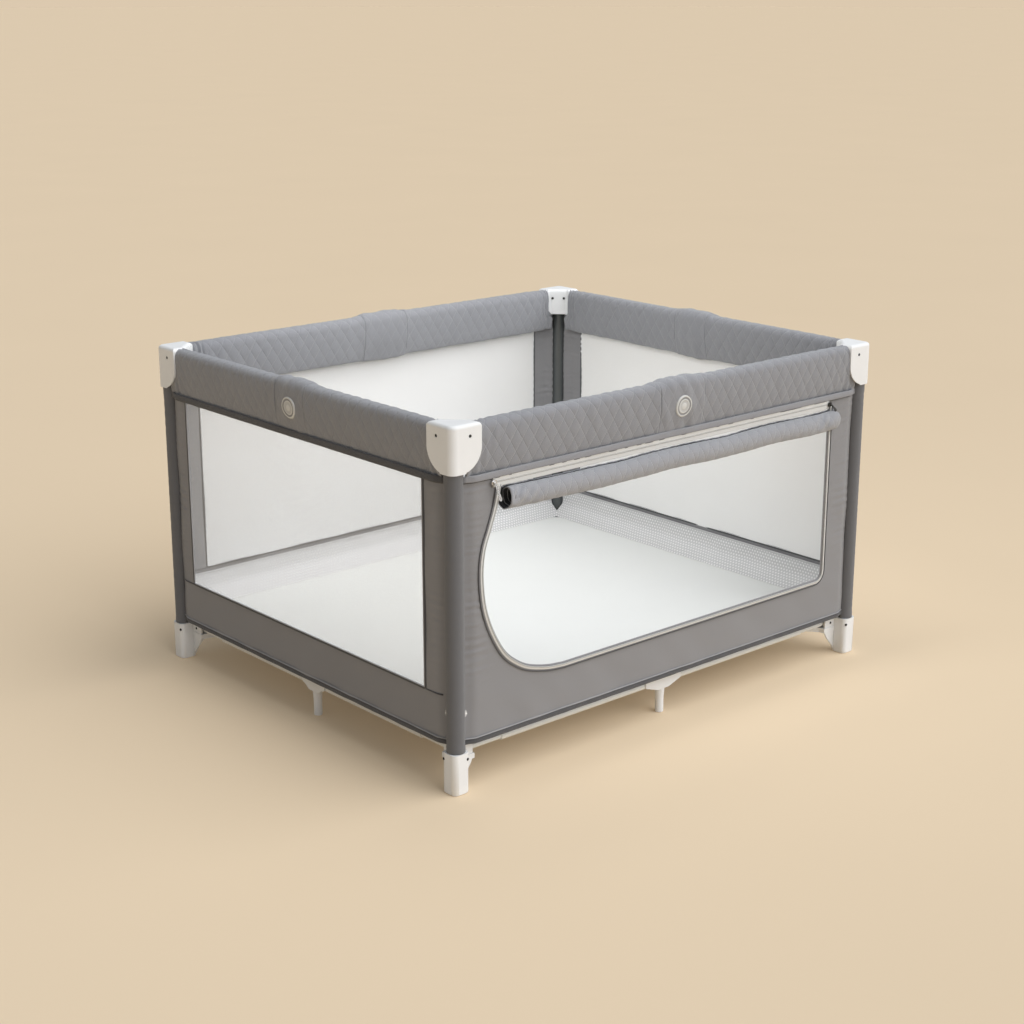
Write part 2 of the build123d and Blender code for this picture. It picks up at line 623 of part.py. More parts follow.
# ---------------------------------------------------------------- rolled-up door panel
with BuildPart() as door_roll:
    with BuildSketch(Plane((ROLL_LEFT, -HALF_Y, ROLL_Z), z_dir=(1, 0, 0))):
        Circle(ROLL_RADIUS)
    extrude(amount=ROLL_RIGHT - ROLL_LEFT)
    fillet(door_roll.edges().filter_by(GeomType.CIRCLE), radius=ROLL_ROUND)
write(door_roll.part, "door_roll")

# ---------------------------------------------------------------- zip slider with its pull tab
slider_plane = Plane(
    (SLIDER_X, -HALF_Y - WALL_OUTER - GAP, SLIDER_Z), x_dir=(1, 0, 0), z_dir=(0, -1, 0)
)
with BuildPart() as zip_slider:
    with BuildSketch(slider_plane):
        RectangleRounded(SLIDER_WIDTH, SLIDER_HEIGHT, SLIDER_ROUND)
    extrude(amount=SLIDER_THICK - PULL_THICK)
    with BuildSketch(slider_plane.offset(SLIDER_THICK - PULL_THICK)):
        with Locations((0, PULL_WIDTH / 2)):
            RectangleRounded(PULL_WIDTH, PULL_LENGTH, PULL_ROUND, align=(Align.CENTER, Align.MAX))
    extrude(amount=PULL_THICK)
write(zip_slider.part, "zip_slider")

# ---------------------------------------------------------------- mattress
with BuildPart() as mattress:
    with BuildSketch(Plane.XY.offset(MATTRESS_BOTTOM)):
        RectangleRounded(2 * MATTRESS_HALF_X, 2 * MATTRESS_HALF_Y, MATTRESS_CORNER)
    extrude(amount=MATTRESS_TOP - MATTRESS_BOTTOM)
    fillet(mattress.edges().filter_by(Plane.XY), radius=MATTRESS_EDGE_ROUND)
write(mattress.part, "mattress")
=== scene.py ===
import json
import math

import bmesh
import bpy
import numpy as np
from mathutils import Matrix, Vector


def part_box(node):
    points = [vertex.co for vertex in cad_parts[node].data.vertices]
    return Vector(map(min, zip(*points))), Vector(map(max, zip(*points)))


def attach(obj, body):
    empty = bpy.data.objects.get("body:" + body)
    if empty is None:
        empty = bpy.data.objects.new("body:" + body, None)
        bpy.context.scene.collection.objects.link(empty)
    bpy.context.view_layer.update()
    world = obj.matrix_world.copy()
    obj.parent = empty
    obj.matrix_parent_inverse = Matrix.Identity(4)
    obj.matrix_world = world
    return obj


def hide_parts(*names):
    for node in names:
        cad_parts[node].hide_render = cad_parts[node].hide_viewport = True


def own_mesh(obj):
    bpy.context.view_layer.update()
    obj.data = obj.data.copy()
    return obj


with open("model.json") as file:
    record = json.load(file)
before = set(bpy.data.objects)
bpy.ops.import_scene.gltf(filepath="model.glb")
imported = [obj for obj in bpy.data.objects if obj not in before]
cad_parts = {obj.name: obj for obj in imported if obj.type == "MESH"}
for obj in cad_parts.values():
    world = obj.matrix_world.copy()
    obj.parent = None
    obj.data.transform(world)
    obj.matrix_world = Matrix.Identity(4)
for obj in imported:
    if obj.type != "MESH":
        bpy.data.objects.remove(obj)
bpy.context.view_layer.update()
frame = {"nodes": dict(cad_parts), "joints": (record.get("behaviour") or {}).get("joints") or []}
TAU = 2 * math.pi

# ---- camera
CAMERA_PLACE = (-2.7489, -3.1191, 1.5812)
CAMERA_AZIMUTH = math.radians(41.285)
CAMERA_PITCH = math.radians(16.423)
CAMERA_LENS = 64.27


def add_camera():
    data = bpy.data.cameras.new("camera")
    data.lens = CAMERA_LENS
    data.sensor_width = 36.0
    data.clip_end = 600.0
    camera = bpy.data.objects.new("camera", data)
    camera.location = CAMERA_PLACE
    camera.rotation_euler = (math.pi / 2 - CAMERA_PITCH, 0.0, -CAMERA_AZIMUTH)
    bpy.context.scene.collection.objects.link(camera)
    bpy.context.scene.camera = camera


add_camera()

# ---- places read from the frame
post_low, post_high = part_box("post_front_right")
HALF_X = float(post_low[0] + post_high[0]) / 2
HALF_Y = -float(post_low[1] + post_high[1]) / 2
POST_RADIUS = float(post_high[0] - post_low[0]) / 2
PAD_BOTTOM = float(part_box("rail_pad_front_left")[0][2])
wall_low, wall_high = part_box("wall_back")
WALL_BOTTOM, WALL_TOP = float(wall_low[2]), float(wall_high[2])
roll_low, roll_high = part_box("door_roll")
slider_low, slider_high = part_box("zip_slider")
mat_low, mat_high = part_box("mattress")
FOOT_TOP = float(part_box("foot_front_left")[1][2])
cap_low, cap_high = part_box("corner_cap_front_left")
CAP_REACH = float(cap_high[0]) + HALF_X
joint_of = {j["name"]: j for j in frame["joints"]}
rail_hinge = joint_of["top_rail_front_left_turn"]["pos_m"]
RAIL_Z = float(rail_hinge[2])
FOLD_END = math.radians(joint_of["fold"]["range_deg"][1])

SPAN = {"long": HALF_X, "short": HALF_Y}
SIDES = {
    # side: (span, outward unit vector, unit vector along the side)
    "front": ("long", np.array((0.0, -1.0)), np.array((1.0, 0.0))),
    "back": ("long", np.array((0.0, 1.0)), np.array((1.0, 0.0))),
    "left": ("short", np.array((-1.0, 0.0)), np.array((0.0, 1.0))),
    "right": ("short", np.array((1.0, 0.0)), np.array((0.0, 1.0))),
}
CORNERS = {"front_left": (-1, -1), "front_right": (1, -1), "back_left": (-1, 1), "back_right": (1, 1)}
HALVES_OF = {"long": ("left", "right"), "short": ("front", "back")}
HALVES = {side: HALVES_OF[span] for side, (span, _, _) in SIDES.items()}
# two corners carry the walls, and the others leave them as the pen folds
WALL_BODY = {
    side: "corner_front_left" if side in ("front", "left") else "corner_back_right" for side in SIDES
}
# share of a whole side that is left between two posts when the pen is folded
bar_share = abs(joint_of["latch_front_level"]["pos_m"][0] - rail_hinge[0]) / HALF_X
FOLDED_SHARE = 1 - bar_share * (1 - math.cos(FOLD_END))


# ---- mesh helpers
def new_object(name, mesh):
    obj = bpy.data.objects.new(name, mesh)
    bpy.context.scene.collection.objects.link(obj)
    return obj


def mesh_object(name, vertices, faces, materials, face_materials=None, uv=None, smooth=True):
    """An object from arrays.  uv holds one pair for each vertex."""
    mesh = bpy.data.meshes.new(name)
    mesh.from_pydata([tuple(map(float, v)) for v in vertices], [], [tuple(map(int, f)) for f in faces])
    mesh.update()
    for material in materials:
        mesh.materials.append(material)
    if face_materials is not None:
        mesh.polygons.foreach_set("material_index", np.asarray(face_materials, dtype=np.int32))
    if smooth:
        mesh.polygons.foreach_set("use_smooth", np.ones(len(mesh.polygons), dtype=bool))
    if uv is not None:
        layer = mesh.uv_layers.new(name="UVMap")
        loops = np.zeros(len(mesh.loops), dtype=np.int32)
        mesh.loops.foreach_get("vertex_index", loops)
        layer.data.foreach_set("uv", np.asarray(uv, dtype=np.float32).reshape(-1, 2)[loops].ravel())
    mesh.update()
    return new_object(name, mesh)


def turn_outward(obj, merge=None):
    """Turn a mesh's faces outward, once the points that lie closer than merge are one."""
    mesh = bmesh.new()
    mesh.from_mesh(obj.data)
    if merge is not None:
        bmesh.ops.remove_doubles(mesh, verts=mesh.verts, dist=merge)
    bmesh.ops.recalc_face_normals(mesh, faces=mesh.faces)
    mesh.to_mesh(obj.data)
    mesh.free()


def grid_faces(rows, columns, wrap_columns=False):
    """Quads of a rows x columns grid of vertices."""
    last_column = columns if wrap_columns else columns - 1
    i, j = np.meshgrid(np.arange(rows - 1), np.arange(last_column), indexing="ij")
    i, j = i.ravel(), j.ravel()
    j2 = (j + 1) % columns
    here, above = i * columns, (i + 1) * columns
    return np.stack([here + j, above + j, above + j2, here + j2], axis=1)


def tube_faces(rows, columns):
    """Faces of a tube of rings, closed at both ends."""
    ends = [list(range(columns)), [(rows - 1) * columns + k for k in range(columns)][::-1]]
    return grid_faces(rows, columns, wrap_columns=True).tolist() + ends


def full_turn(count):
    """Angles of count even steps round a circle."""
    return np.arange(count) / count * TAU


def smooth_step(low, high, value):
    t = np.clip((value - low) / (high - low), 0, 1)
    return t * t * (3 - 2 * t)


def run_length(points):
    """How far along a line of points each one lies."""
    return np.concatenate([[0], np.cumsum(np.linalg.norm(np.diff(points, axis=0), axis=1))])


def spline_run(a, b, c, d, t):
    """Smooth curve from b to c, with a before it and d after it."""
    return 0.5 * (2 * b + (c - a) * t + (2 * a - 5 * b + 4 * c - d) * t**2 + (3 * b - a - 3 * c + d) * t**3)


def spline(points, per_run):
    """Smooth curve through points."""
    p = np.vstack([2 * points[0] - points[1], points, 2 * points[-1] - points[-2]])
    t = (np.arange(per_run) / per_run)[:, None]
    runs = [spline_run(*p[k - 1 : k + 3], t) for k in range(1, len(p) - 2)]
    return np.concatenate(runs + [p[-2:-1]])


def closed_profile(points, count):
    """count points evenly spaced along a smooth closed curve, and how far along it they lie."""
    p = np.asarray(points, float)
    t = (np.arange(24) / 24)[:, None]
    curve = np.concatenate([spline_run(*np.roll(p, 1 - k, axis=0)[:4], t) for k in range(len(p))])
    closed = np.vstack([curve, curve[:1]])
    length = run_length(closed)
    even = np.linspace(0, length[-1], count, endpoint=False)
    return np.stack([np.interp(even, length, closed[:, k]) for k in range(2)], axis=1), even


def even_path(points, step):
    length = run_length(points)
    even = np.linspace(0, length[-1], max(2, int(round(length[-1] / step)) + 1))
    return np.stack([np.interp(even, length, points[:, k]) for k in range(points.shape[1])], axis=1)


def grid_uv(u, v):
    return np.stack(np.broadcast_arrays(u, v), axis=-1)


def ripples(u, v, seed, waves, low, high, direction=None, spread=0.35):
    """Sum of sine waves with lengths from low to high metres, mostly along one direction (radians)."""
    random = np.random.default_rng(seed)
    total = np.zeros(np.broadcast(u, v).shape)
    for _ in range(waves):
        angle = random.uniform(0, math.pi) if direction is None else direction + random.normal(0, spread)
        number = TAU / random.uniform(low, high)
        total += np.sin((u * math.cos(angle) + v * math.sin(angle)) * number + random.uniform(0, TAU))
    return total / math.sqrt(waves)


def place_on_side(side, along, outward, height):
    """Points of a side: along it from its middle, out from the plane of the posts, and up."""
    span, out, direction = SIDES[side]
    other = SPAN["short" if span == "long" else "long"]
    along, outward, height = np.broadcast_arrays(along, outward, height)
    x = along * direction[0] + (other + outward) * out[0]
    y = along * direction[1] + (other + outward) * out[1]
    return np.stack([x, y, height], axis=-1).reshape(-1, 3)


def corner_points(corner, inward_x, inward_y, height):
    """Points given from a post's axis, towards the pen's inside along x and y."""
    sx, sy = CORNERS[corner]
    x, y, height = np.broadcast_arrays(sx * (HALF_X - inward_x), sy * (HALF_Y - inward_y), height)
    return np.stack([x, y, height], axis=-1).reshape(-1, 3)


# ---- materials
HOLE_ROW = 0.866  # distance between rows of holes, in pitches


class Wire:
    """A value inside a material, with arithmetic."""

    def __init__(self, nodes, socket):
        self.nodes = nodes
        self.socket = socket

    def __add__(self, other):
        return self.nodes.math("ADD", self, other)

    def __sub__(self, other):
        return self.nodes.math("SUBTRACT", self, other)

    def __rsub__(self, other):
        return self.nodes.math("SUBTRACT", other, self)

    def __mul__(self, other):
        return self.nodes.math("MULTIPLY", self, other)

    def __truediv__(self, other):
        return self.nodes.math("DIVIDE", self, other)

    def clamped(self):
        self.socket.node.use_clamp = True
        return self


class Nodes:
    """Short way to make a node material."""

    def __init__(self, name):
        self.material = bpy.data.materials.new(name)
        self.material.use_nodes = True
        self.tree = self.material.node_tree

    def feed(self, socket, value):
        if isinstance(value, Wire):
            self.tree.links.new(value.socket, socket)
        else:
            socket.default_value = (*value, 1) if isinstance(value, tuple) else value

    def add(self, kind, output=0, **settings):
        """A new node's output, its inputs and properties set by name."""
        node = self.tree.nodes.new(kind)
        for key, value in settings.items():
            if key in node.inputs:
                self.feed(node.inputs[key], value)
            else:
                setattr(node, key, value)
        return Wire(self, node.outputs[output])

    def math(self, operation, a, b=None):
        result = self.add("ShaderNodeMath", operation=operation)
        for socket, value in zip(result.socket.node.inputs, (a, b)):
            if value is not None:
                self.feed(socket, value)
        return result

    def uv(self):
        return self.add("ShaderNodeUVMap", uv_map="UVMap")

    def place(self):
        return self.add("ShaderNodeTexCoord", "Object")

    def parts(self, vector):
        x = self.add("ShaderNodeSeparateXYZ", Vector=vector)
        return x, Wire(self, x.socket.node.outputs[1])

    def noise(self, vector, scale, detail=2.0, roughness=0.5):
        settings = {"Vector": vector, "Scale": scale, "Detail": detail, "Roughness": roughness}
        return self.add("ShaderNodeTexNoise", "Fac", **settings)

    def ramp(self, value, low, high, dark, light):
        """Linear change of colour from dark at low to light at high."""
        result = self.add("ShaderNodeValToRGB", Fac=value)
        elements = result.socket.node.color_ramp.elements
        for element, position, colour in zip(elements, (low, high), (dark, light)):
            element.position = position
            element.color = (*colour, 1)
        return result

    def mix(self, factor, a, b):
        result = self.add("ShaderNodeMix", 2, data_type="RGBA")
        inputs = result.socket.node.inputs
        for socket, value in ((inputs[0], factor), (inputs[6], a), (inputs[7], b)):
            self.feed(socket, value)
        return result

    def spread(self, value, low, high):
        """The value from 0 to 1 brought to the range from low to high."""
        return self.add("ShaderNodeMapRange", Value=value, **{"To Min": low, "To Max": high})

    def bump(self, height, distance, strength=1.0, **after):
        return self.add("ShaderNodeBump", Strength=strength, Distance=distance, Height=height, **after)

    def weave(self, vector, pitch):
        """Height of a plain weave with that thread pitch."""
        x, y = self.parts(vector)
        return self.math("SINE", x * (TAU / pitch)) * self.math("SINE", y * (TAU / pitch)) + 0.5

    def from_hole(self, u, v, pitch):
        """Distance, in pitches, from the nearest of many holes in staggered rows."""
        row = v / (pitch * HOLE_ROW)
        shift = self.math("MODULO", self.math("FLOOR", row), 2.0) * 0.5
        du = self.math("FRACT", u / pitch + shift) - 0.5
        dv = (self.math("FRACT", row) - 0.5) * HOLE_ROW
        return self.math("SQRT", du * du + dv * dv)

    def done(self, **settings):
        """The material, its shader's sockets fed by name."""
        for name, value in settings.items():
            self.feed(self.tree.nodes["Principled BSDF"].inputs[name.replace("_", " ")], value)
        return self.material


def shade(colour, factor):
    return tuple(min(1.0, c * factor) for c in colour)


def woven(name, colour, pitch=0.0012, fleck=0.10, blotch=0.07, relief=0.00025, sheen=0.25):
    """Plain woven cloth: thread relief, flecks of lighter and darker yarn, slow change of tone."""
    n = Nodes(name)
    uv = n.uv()
    flecks = n.noise(uv, 900.0, 3.0, 0.7)
    base = n.ramp(flecks, 0.3, 0.7, shade(colour, 1 - fleck), shade(colour, 1 + fleck))
    toned = n.mix(n.noise(uv, 9.0, 3.0), shade(colour, 1 - blotch), shade(colour, 1 + blotch))
    return n.done(
        Base_Color=n.mix(0.5, base, toned),
        Normal=n.bump(n.weave(uv, pitch), relief, 0.6),
        Roughness=0.92,
        Specular_IOR_Level=0.25,
        Sheen_Weight=sheen,
    )


DIAMOND_WIDTH = 0.031
DIAMOND_HEIGHT = 0.046
STITCH_STEP = 0.0034
STITCH_GAP = 0.32  # share of a step between two stitches
SEAM_HALF = 0.055  # half a seam's width, as a share of a diamond


def quilted(name, colour):
    """Melange cloth quilted in diamonds.  The seams' relief is in the mesh; this adds the stitches and a
    painted shade along the seams.
    """
    n = Nodes(name)
    uv = n.uv()
    u, v = n.parts(uv)
    across = u / DIAMOND_WIDTH
    up = v / DIAMOND_HEIGHT
    dash = n.math("GREATER_THAN", n.math("FRACT", v * (1 / STITCH_STEP)), STITCH_GAP)
    seams, stitches = [], []
    for phase in (across + up, across - up):
        off = n.math("ABSOLUTE", n.math("FRACT", phase) - 0.5)
        near = (1.0 - (0.5 - off) / SEAM_HALF).clamped()
        seams.append(near)
        stitches.append(n.math("GREATER_THAN", near, 0.55) * dash)
    quilt = n.add("ShaderNodeAttribute", "Fac", attribute_name="quilt")
    seam = n.math("MAXIMUM", *seams) * quilt
    stitch = n.math("MAXIMUM", *stitches) * quilt
    flecks = n.noise(uv, 1100.0, 3.0, 0.75)
    base = n.ramp(flecks, 0.32, 0.68, shade(colour, 0.80), shade(colour, 1.20))
    toned = n.mix(n.noise(uv, 14.0, 3.0), shade(colour, 0.93), shade(colour, 1.08))
    # painted shade: the colour darkens a little along the quilting seams
    dark = n.mix(seam * 0.10, n.mix(0.5, base, toned), shade(colour, 0.55))
    weave = n.bump(n.weave(uv, 0.0011), 0.00022, 0.55)
    return n.done(
        Base_Color=n.mix(stitch * 0.30, dark, shade(colour, 1.75)),
        Normal=n.bump(1.0 - seam, 0.0009, 0.8, Normal=weave),
        Roughness=0.93,
        Specular_IOR_Level=0.22,
        Sheen_Weight=0.35,
    )


def dotted_net(name, colour, hole_colour):
    """Lining of the lower band: close net with rows of light dots."""
    n = Nodes(name)
    uv = n.uv()
    dot = (1.0 - (n.from_hole(*n.parts(uv), 0.0088) - 0.20) * 9.0).clamped()
    tone = n.mix(n.noise(uv, 400.0), shade(colour, 0.94), shade(colour, 1.05))
    return n.done(
        Base_Color=n.mix(dot, tone, hole_colour),
        Normal=n.bump(dot, 0.0005, 0.6),
        Roughness=0.85,
        Specular_IOR_Level=0.3,
        Sheen_Weight=0.2,
    )


def window_net(name, colour, sheer, pitch=0.0021, open_share=0.42):
    """White mesh window: a close net of threads with small round holes in staggered rows.

    sheer is how solid the holes and the threads look."""
    n = Nodes(name)
    uv = n.uv()
    thread = ((n.from_hole(*n.parts(uv), pitch) - 0.5 * open_share) * 12.0).clamped()
    return n.done(
        Base_Color=n.mix(n.noise(uv, 7.0, 2.0), shade(colour, 0.97), shade(colour, 1.02)),
        Normal=n.bump(thread, 0.0004, 0.5),
        Alpha=thread * (sheer[1] - sheer[0]) + sheer[0],
        Roughness=0.75,
        Specular_IOR_Level=0.3,
        Sheen_Weight=0.2,
    )


def hard(name, colour, tones, grain, gloss, **settings):
    """Hard surface: slow change of tone, fine relief and uneven gloss.

    tones is (scale, detail, darkest, lightest), grain (scale, relief), gloss (scale, lowest, highest)."""
    n = Nodes(name)
    place = n.place()
    scale, detail, dark, light = tones
    return n.done(
        Base_Color=n.mix(n.noise(place, scale, detail), shade(colour, dark), shade(colour, light)),
        Normal=n.bump(n.noise(place, grain[0]), grain[1], 0.5),
        Roughness=n.spread(n.noise(place, gloss[0], 3.0), gloss[1], gloss[2]),
        **settings,
    )


def moulded(name, colour, roughness=0.42):
    """Moulded plastic with a fine sparked grain."""
    gloss = (60.0, roughness - 0.05, roughness + 0.08)
    return hard(name, colour, (18.0, 3.0, 0.96, 1.03), (1400.0, 0.00008), gloss, Specular_IOR_Level=0.45)


def enamelled(name, colour, roughness=0.32):
    """Powder-coated steel tube with the relief of orange peel."""
    gloss = (90.0, roughness - 0.06, roughness + 0.12)
    coat = {"Coat_Weight": 0.25, "Coat_Roughness": 0.2}
    return hard(name, colour, (25.0, 4.0, 0.93, 1.05), (700.0, 0.00006), gloss, **coat)


def metal(name, colour, roughness):
    n = Nodes(name)
    scratches = n.noise(n.place(), 500.0, 4.0, 0.7)
    return n.done(
        Base_Color=n.mix(scratches, shade(colour, 0.85), shade(colour, 1.08)),
        Roughness=n.spread(scratches, roughness - 0.08, roughness + 0.12),
        Metallic=1.0,
    )


def toothed(name, colour, pitch=0.0024):
    """Zipper coil: slanting teeth as relief, with painted shade between them."""
    n = Nodes(name)
    u, v = n.parts(n.uv())
    tooth = n.math("SINE", (u / pitch + v * 160.0) * TAU) * 0.5 + 0.5
    # painted shade: the base colour darkens between the teeth
    return n.done(
        Base_Color=n.mix(tooth, shade(colour, 0.45), colour),
        Normal=n.bump(tooth, 0.0007, 0.8),
        Roughness=0.45,
        Specular_IOR_Level=0.4,
    )


PAD_GREY = (0.262, 0.265, 0.280)
WALL_GREY = (0.262, 0.258, 0.262)
SLEEVE_GREY = (0.150, 0.150, 0.155)
LINING_TONE = (0.60, 0.595, 0.59)
FINE = 0.0009  # thread pitch of bindings and tapes
quilt_cloth = quilted("quilted_cloth", PAD_GREY)
# the roll's cloth is the pads' quilted cloth made a quarter lighter: painted light on the rolled panel
lightened_roll_cloth = quilted("lightened_roll_cloth", shade(PAD_GREY, 1.25))
wall_cloth = woven("wall_cloth", WALL_GREY)
sleeve_cloth = woven("sleeve_cloth", SLEEVE_GREY)
piping_cloth = woven("piping_cloth", (0.085, 0.085, 0.088), FINE)
light_piping = woven("light_piping", (0.40, 0.40, 0.41), FINE)
hem_cloth = woven("hem_cloth", (0.30, 0.30, 0.315), FINE)
lining_binding = woven("lining_binding", LINING_TONE, FINE)
dark_lining = woven("dark_lining", (0.028, 0.028, 0.030))
zip_tape = woven("zip_tape", (0.74, 0.73, 0.70), FINE, fleck=0.05)
zip_coil = toothed("zip_coil", (0.72, 0.71, 0.68))
net_cloth = window_net("net_cloth", (0.90, 0.90, 0.885), (0.86, 0.98))
# the back window's net is the same white net made darker: painted shade for the brightly lit back wall
shaded_back_net_cloth = window_net("shaded_back_net_cloth", (0.79, 0.79, 0.78), (0.86, 0.98))
sheer_net_cloth = window_net("sheer_net_cloth", (0.88, 0.88, 0.87), (0.16, 0.34))
lining_cloth = dotted_net("lining_cloth", LINING_TONE, (0.84, 0.835, 0.82))
mat_cloth = woven("mat_cloth", (0.79, 0.796, 0.768), 0.0016, fleck=0.03, blotch=0.02, sheen=0.1)
white_plastic = moulded("white_plastic", (0.80, 0.805, 0.80))
dark_plastic = moulded("dark_plastic", (0.06, 0.06, 0.065), 0.5)
badge_ring = moulded("badge_ring", (0.62, 0.62, 0.60), 0.5)
badge_core = moulded("badge_core", (0.50, 0.50, 0.49), 0.55)
badge_dark = moulded("badge_dark", (0.27, 0.27, 0.27), 0.55)
white_tube = enamelled("white_tube", (0.74, 0.745, 0.72))
dark_tube = enamelled("dark_tube", (0.075, 0.082, 0.082))
rivet_metal = metal("rivet_metal", (0.045, 0.045, 0.045), 0.45)
slider_metal = metal("slider_metal", (0.72, 0.72, 0.72), 0.25)
dark_slider_metal = metal("dark_slider_metal", (0.10, 0.10, 0.10), 0.35)
FRAME_MATERIALS = {
    "corner_cap": white_plastic,
    "foot": white_plastic,
    "mid_foot": white_plastic,
    "hub": white_plastic,
    "base_rail": white_tube,
    "spoke": white_tube,
    "post": dark_tube,
    "top_rail": dark_tube,
    "latch": dark_plastic,
    "latch_button": white_plastic,
    "zip_slider": slider_metal,
}


def paint_frame():
    """Give the CAD pieces that stay in view their materials."""
    for name, node in frame["nodes"].items():
        kinds = [kind for kind in FRAME_MATERIALS if name == kind or name.startswith(kind + "_")]
        if kinds:
            node.data.materials.clear()
            node.data.materials.append(FRAME_MATERIALS[max(kinds, key=len)])


paint_frame()


# ---- padding round the top rails
PAD_FOOT = -0.0865
PAD_HALF_PROFILE = (
    # out from the rail's axis, height
    (0.0085, -0.0845),
    (0.0130, -0.0780),
    (0.0175, -0.0560),
    (0.0205, -0.0260),
    (0.0208, -0.0030),
    (0.0185, 0.0135),
    (0.0110, 0.0225),
)
INNER_HALF = [(-out, height) for out, height in PAD_HALF_PROFILE[::-1]]
RAIL_PAD_PROFILE = [(0.0, PAD_FOOT), *PAD_HALF_PROFILE, (0.0, 0.0248), *INNER_HALF]
PAD_RING = 104
PAD_STEP = 0.0032
BUMP_HALF = {"long": 0.100, "short": 0.088}
PAD_END_OUTSIDE = 0.022  # from the post's axis to the padding's end, behind the cap
PAD_END_INSIDE = 0.055  # the same on the pen's inside, beside the cap's web
PAD_END_BELOW = 0.037  # the same below the cap
CAP_FOOT = 0.698  # height of the cap's lower end
PAD_DRAW = 0.06  # length of the stretch drawn in towards the slanted end
BUMP_LIFT = 0.0045
LATCH_COVER_SEAM = {"long": float(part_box("latch_front")[1][0]), "short": float(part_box("latch_left")[1][1])}


def diamonds(u, v):
    """Height of diamond quilting: 0 on the seams, 1 in the middle of a diamond."""
    p = u / DIAMOND_WIDTH + v / DIAMOND_HEIGHT
    q = u / DIAMOND_WIDTH - v / DIAMOND_HEIGHT
    return np.abs(np.sin(math.pi * p) * np.sin(math.pi * q))


def bump_swell(distance, half):
    """How far the padding stands out over the latch, from 0 to 1, by the distance from the side's middle."""
    return 1 - smooth_step(0.25 * half, half, np.abs(distance))


def end_from_post(out, height):
    """How far from the post's axis the padding ends: behind the cap outside, beside its web inside."""
    below = 1 - smooth_step(CAP_FOOT - 0.016, CAP_FOOT, height)
    inside = PAD_END_INSIDE + (PAD_END_BELOW - PAD_END_INSIDE) * below
    return PAD_END_OUTSIDE + (inside - PAD_END_OUTSIDE) * (1 - smooth_step(-0.012, 0.010, out))


def pad_rings(side, first, last, seed):
    """Rings of the padding on a side from first to last metres from its middle (first < last)."""
    span = SIDES[side][0]
    ring, around = closed_profile(RAIL_PAD_PROFILE, PAD_RING)
    tangent = np.roll(ring, -1, axis=0) - np.roll(ring, 1, axis=0)
    normal = np.stack([tangent[:, 1], -tangent[:, 0]], axis=1)
    normal /= np.linalg.norm(normal, axis=1, keepdims=True)
    along = np.linspace(first, last, int(round((last - first) / PAD_STEP)) + 1)[:, None]
    v, up = around[None, :], ring[None, :, 1]
    swell = bump_swell(along, BUMP_HALF[span])
    # the quilting fades out on the bump and near the hem
    quilt = (1 - 0.35 * smooth_step(0.15, 0.95, swell)) * smooth_step(PAD_FOOT, -0.079, up)
    # soft folds: gathers at the cap, slack ones over the bump
    from_cap = SPAN[span] - CAP_REACH - np.abs(along)
    gather = np.exp(-np.clip(from_cap, 0, None) / 0.035)
    folds = ripples(along, v * 0.25, seed, 7, 0.016, 0.034, 0.0, 0.2)
    slack = ripples(along, v * 0.6, seed + 1, 6, 0.03, 0.07, 0.35, 0.4)
    lift = 0.0013 * quilt * (diamonds(along, v) ** 0.55 - 0.5)
    lift = lift + 0.0011 * gather * folds + 0.0008 * slack * (0.35 + swell)
    lift = lift - 0.0016 * gather
    lift = lift + BUMP_LIFT * swell * smooth_step(-0.09, -0.03, up)
    long_wave = ripples(along, 0 * v, seed + 2, 4, 0.16, 0.4, 0.0, 0.0)
    outward = ring[None, :, 0] + normal[None, :, 0] * lift
    height = up + normal[None, :, 1] * lift
    height = height + 0.0022 * swell * smooth_step(-0.02, 0.02, up)
    height = height - 0.0045 * swell * smooth_step(-0.05, -0.085, up)
    height = height + 0.0007 * long_wave * smooth_step(-0.03, -0.08, up)
    return np.broadcast_to(along, outward.shape), outward, height + RAIL_Z, grid_uv(along, v), quilt


def set_quilt(obj, quilt):
    attribute = obj.data.attributes.new("quilt", "FLOAT", "POINT")
    attribute.data.foreach_set("value", np.asarray(quilt, np.float32).ravel())


def add_padding(name, side, along, outward, height, uv, quilt, body):
    """A closed quilted piece from its rings."""
    points = place_on_side(side, along, outward, height)
    obj = mesh_object(name, points, tube_faces(*along.shape), [quilt_cloth], uv=uv)
    set_quilt(obj, quilt)
    turn_outward(obj)
    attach(obj, body)
    return obj


def add_rail_pad(side, half_name, seed):
    """Quilted sleeve round one half rail, from the corner cap to the seam beside the latch."""
    span = SIDES[side][0]
    sign = -1 if half_name in ("left", "front") else 1
    end = SPAN[span] - PAD_END_OUTSIDE
    first, last = sorted((sign * (LATCH_COVER_SEAM[span] + 0.0002), sign * end))
    along, outward, height, uv, quilt = pad_rings(side, first, last, seed)
    # the last stretch is drawn in towards the slanted end
    share = np.clip((np.abs(along) - (end - PAD_DRAW)) / PAD_DRAW, 0, 1)
    along = along - sign * share * (end_from_post(outward, height) - PAD_END_OUTSIDE)
    half_side = f"{side}_{half_name}"
    body = f"top_rail_{half_side}"
    obj = add_padding(f"quilted_pad_{half_side}", side, along, outward, height, uv, quilt, body)
    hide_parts(f"rail_pad_{half_side}")
    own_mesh(obj)


def add_latch_cover(side, seed):
    """Lightly quilted cover over the latch, in the middle of a side."""
    seam = LATCH_COVER_SEAM[SIDES[side][0]]
    add_padding(f"latch_cover_{side}", side, *pad_rings(side, -seam, seam, seed), f"latch_{side}")


for number, side in enumerate(SIDES):
    for offset, half_name in enumerate(HALVES[side]):
        add_rail_pad(side, half_name, 10 * number + offset)
    add_latch_cover(side, 10 * number + 5)


# ---- post sleeves
SLEEVE_RADIUS = POST_RADIUS + 0.0022
WALL_OUT = 0.012  # wall panels, outside the plane of the posts
SLEEVE_OUT = 0.004  # the same where they meet the sleeves
SLEEVE_EDGE = math.sqrt(SLEEVE_RADIUS**2 - SLEEVE_OUT**2)
DRAW_WIDTH = 0.026  # over which they are drawn in


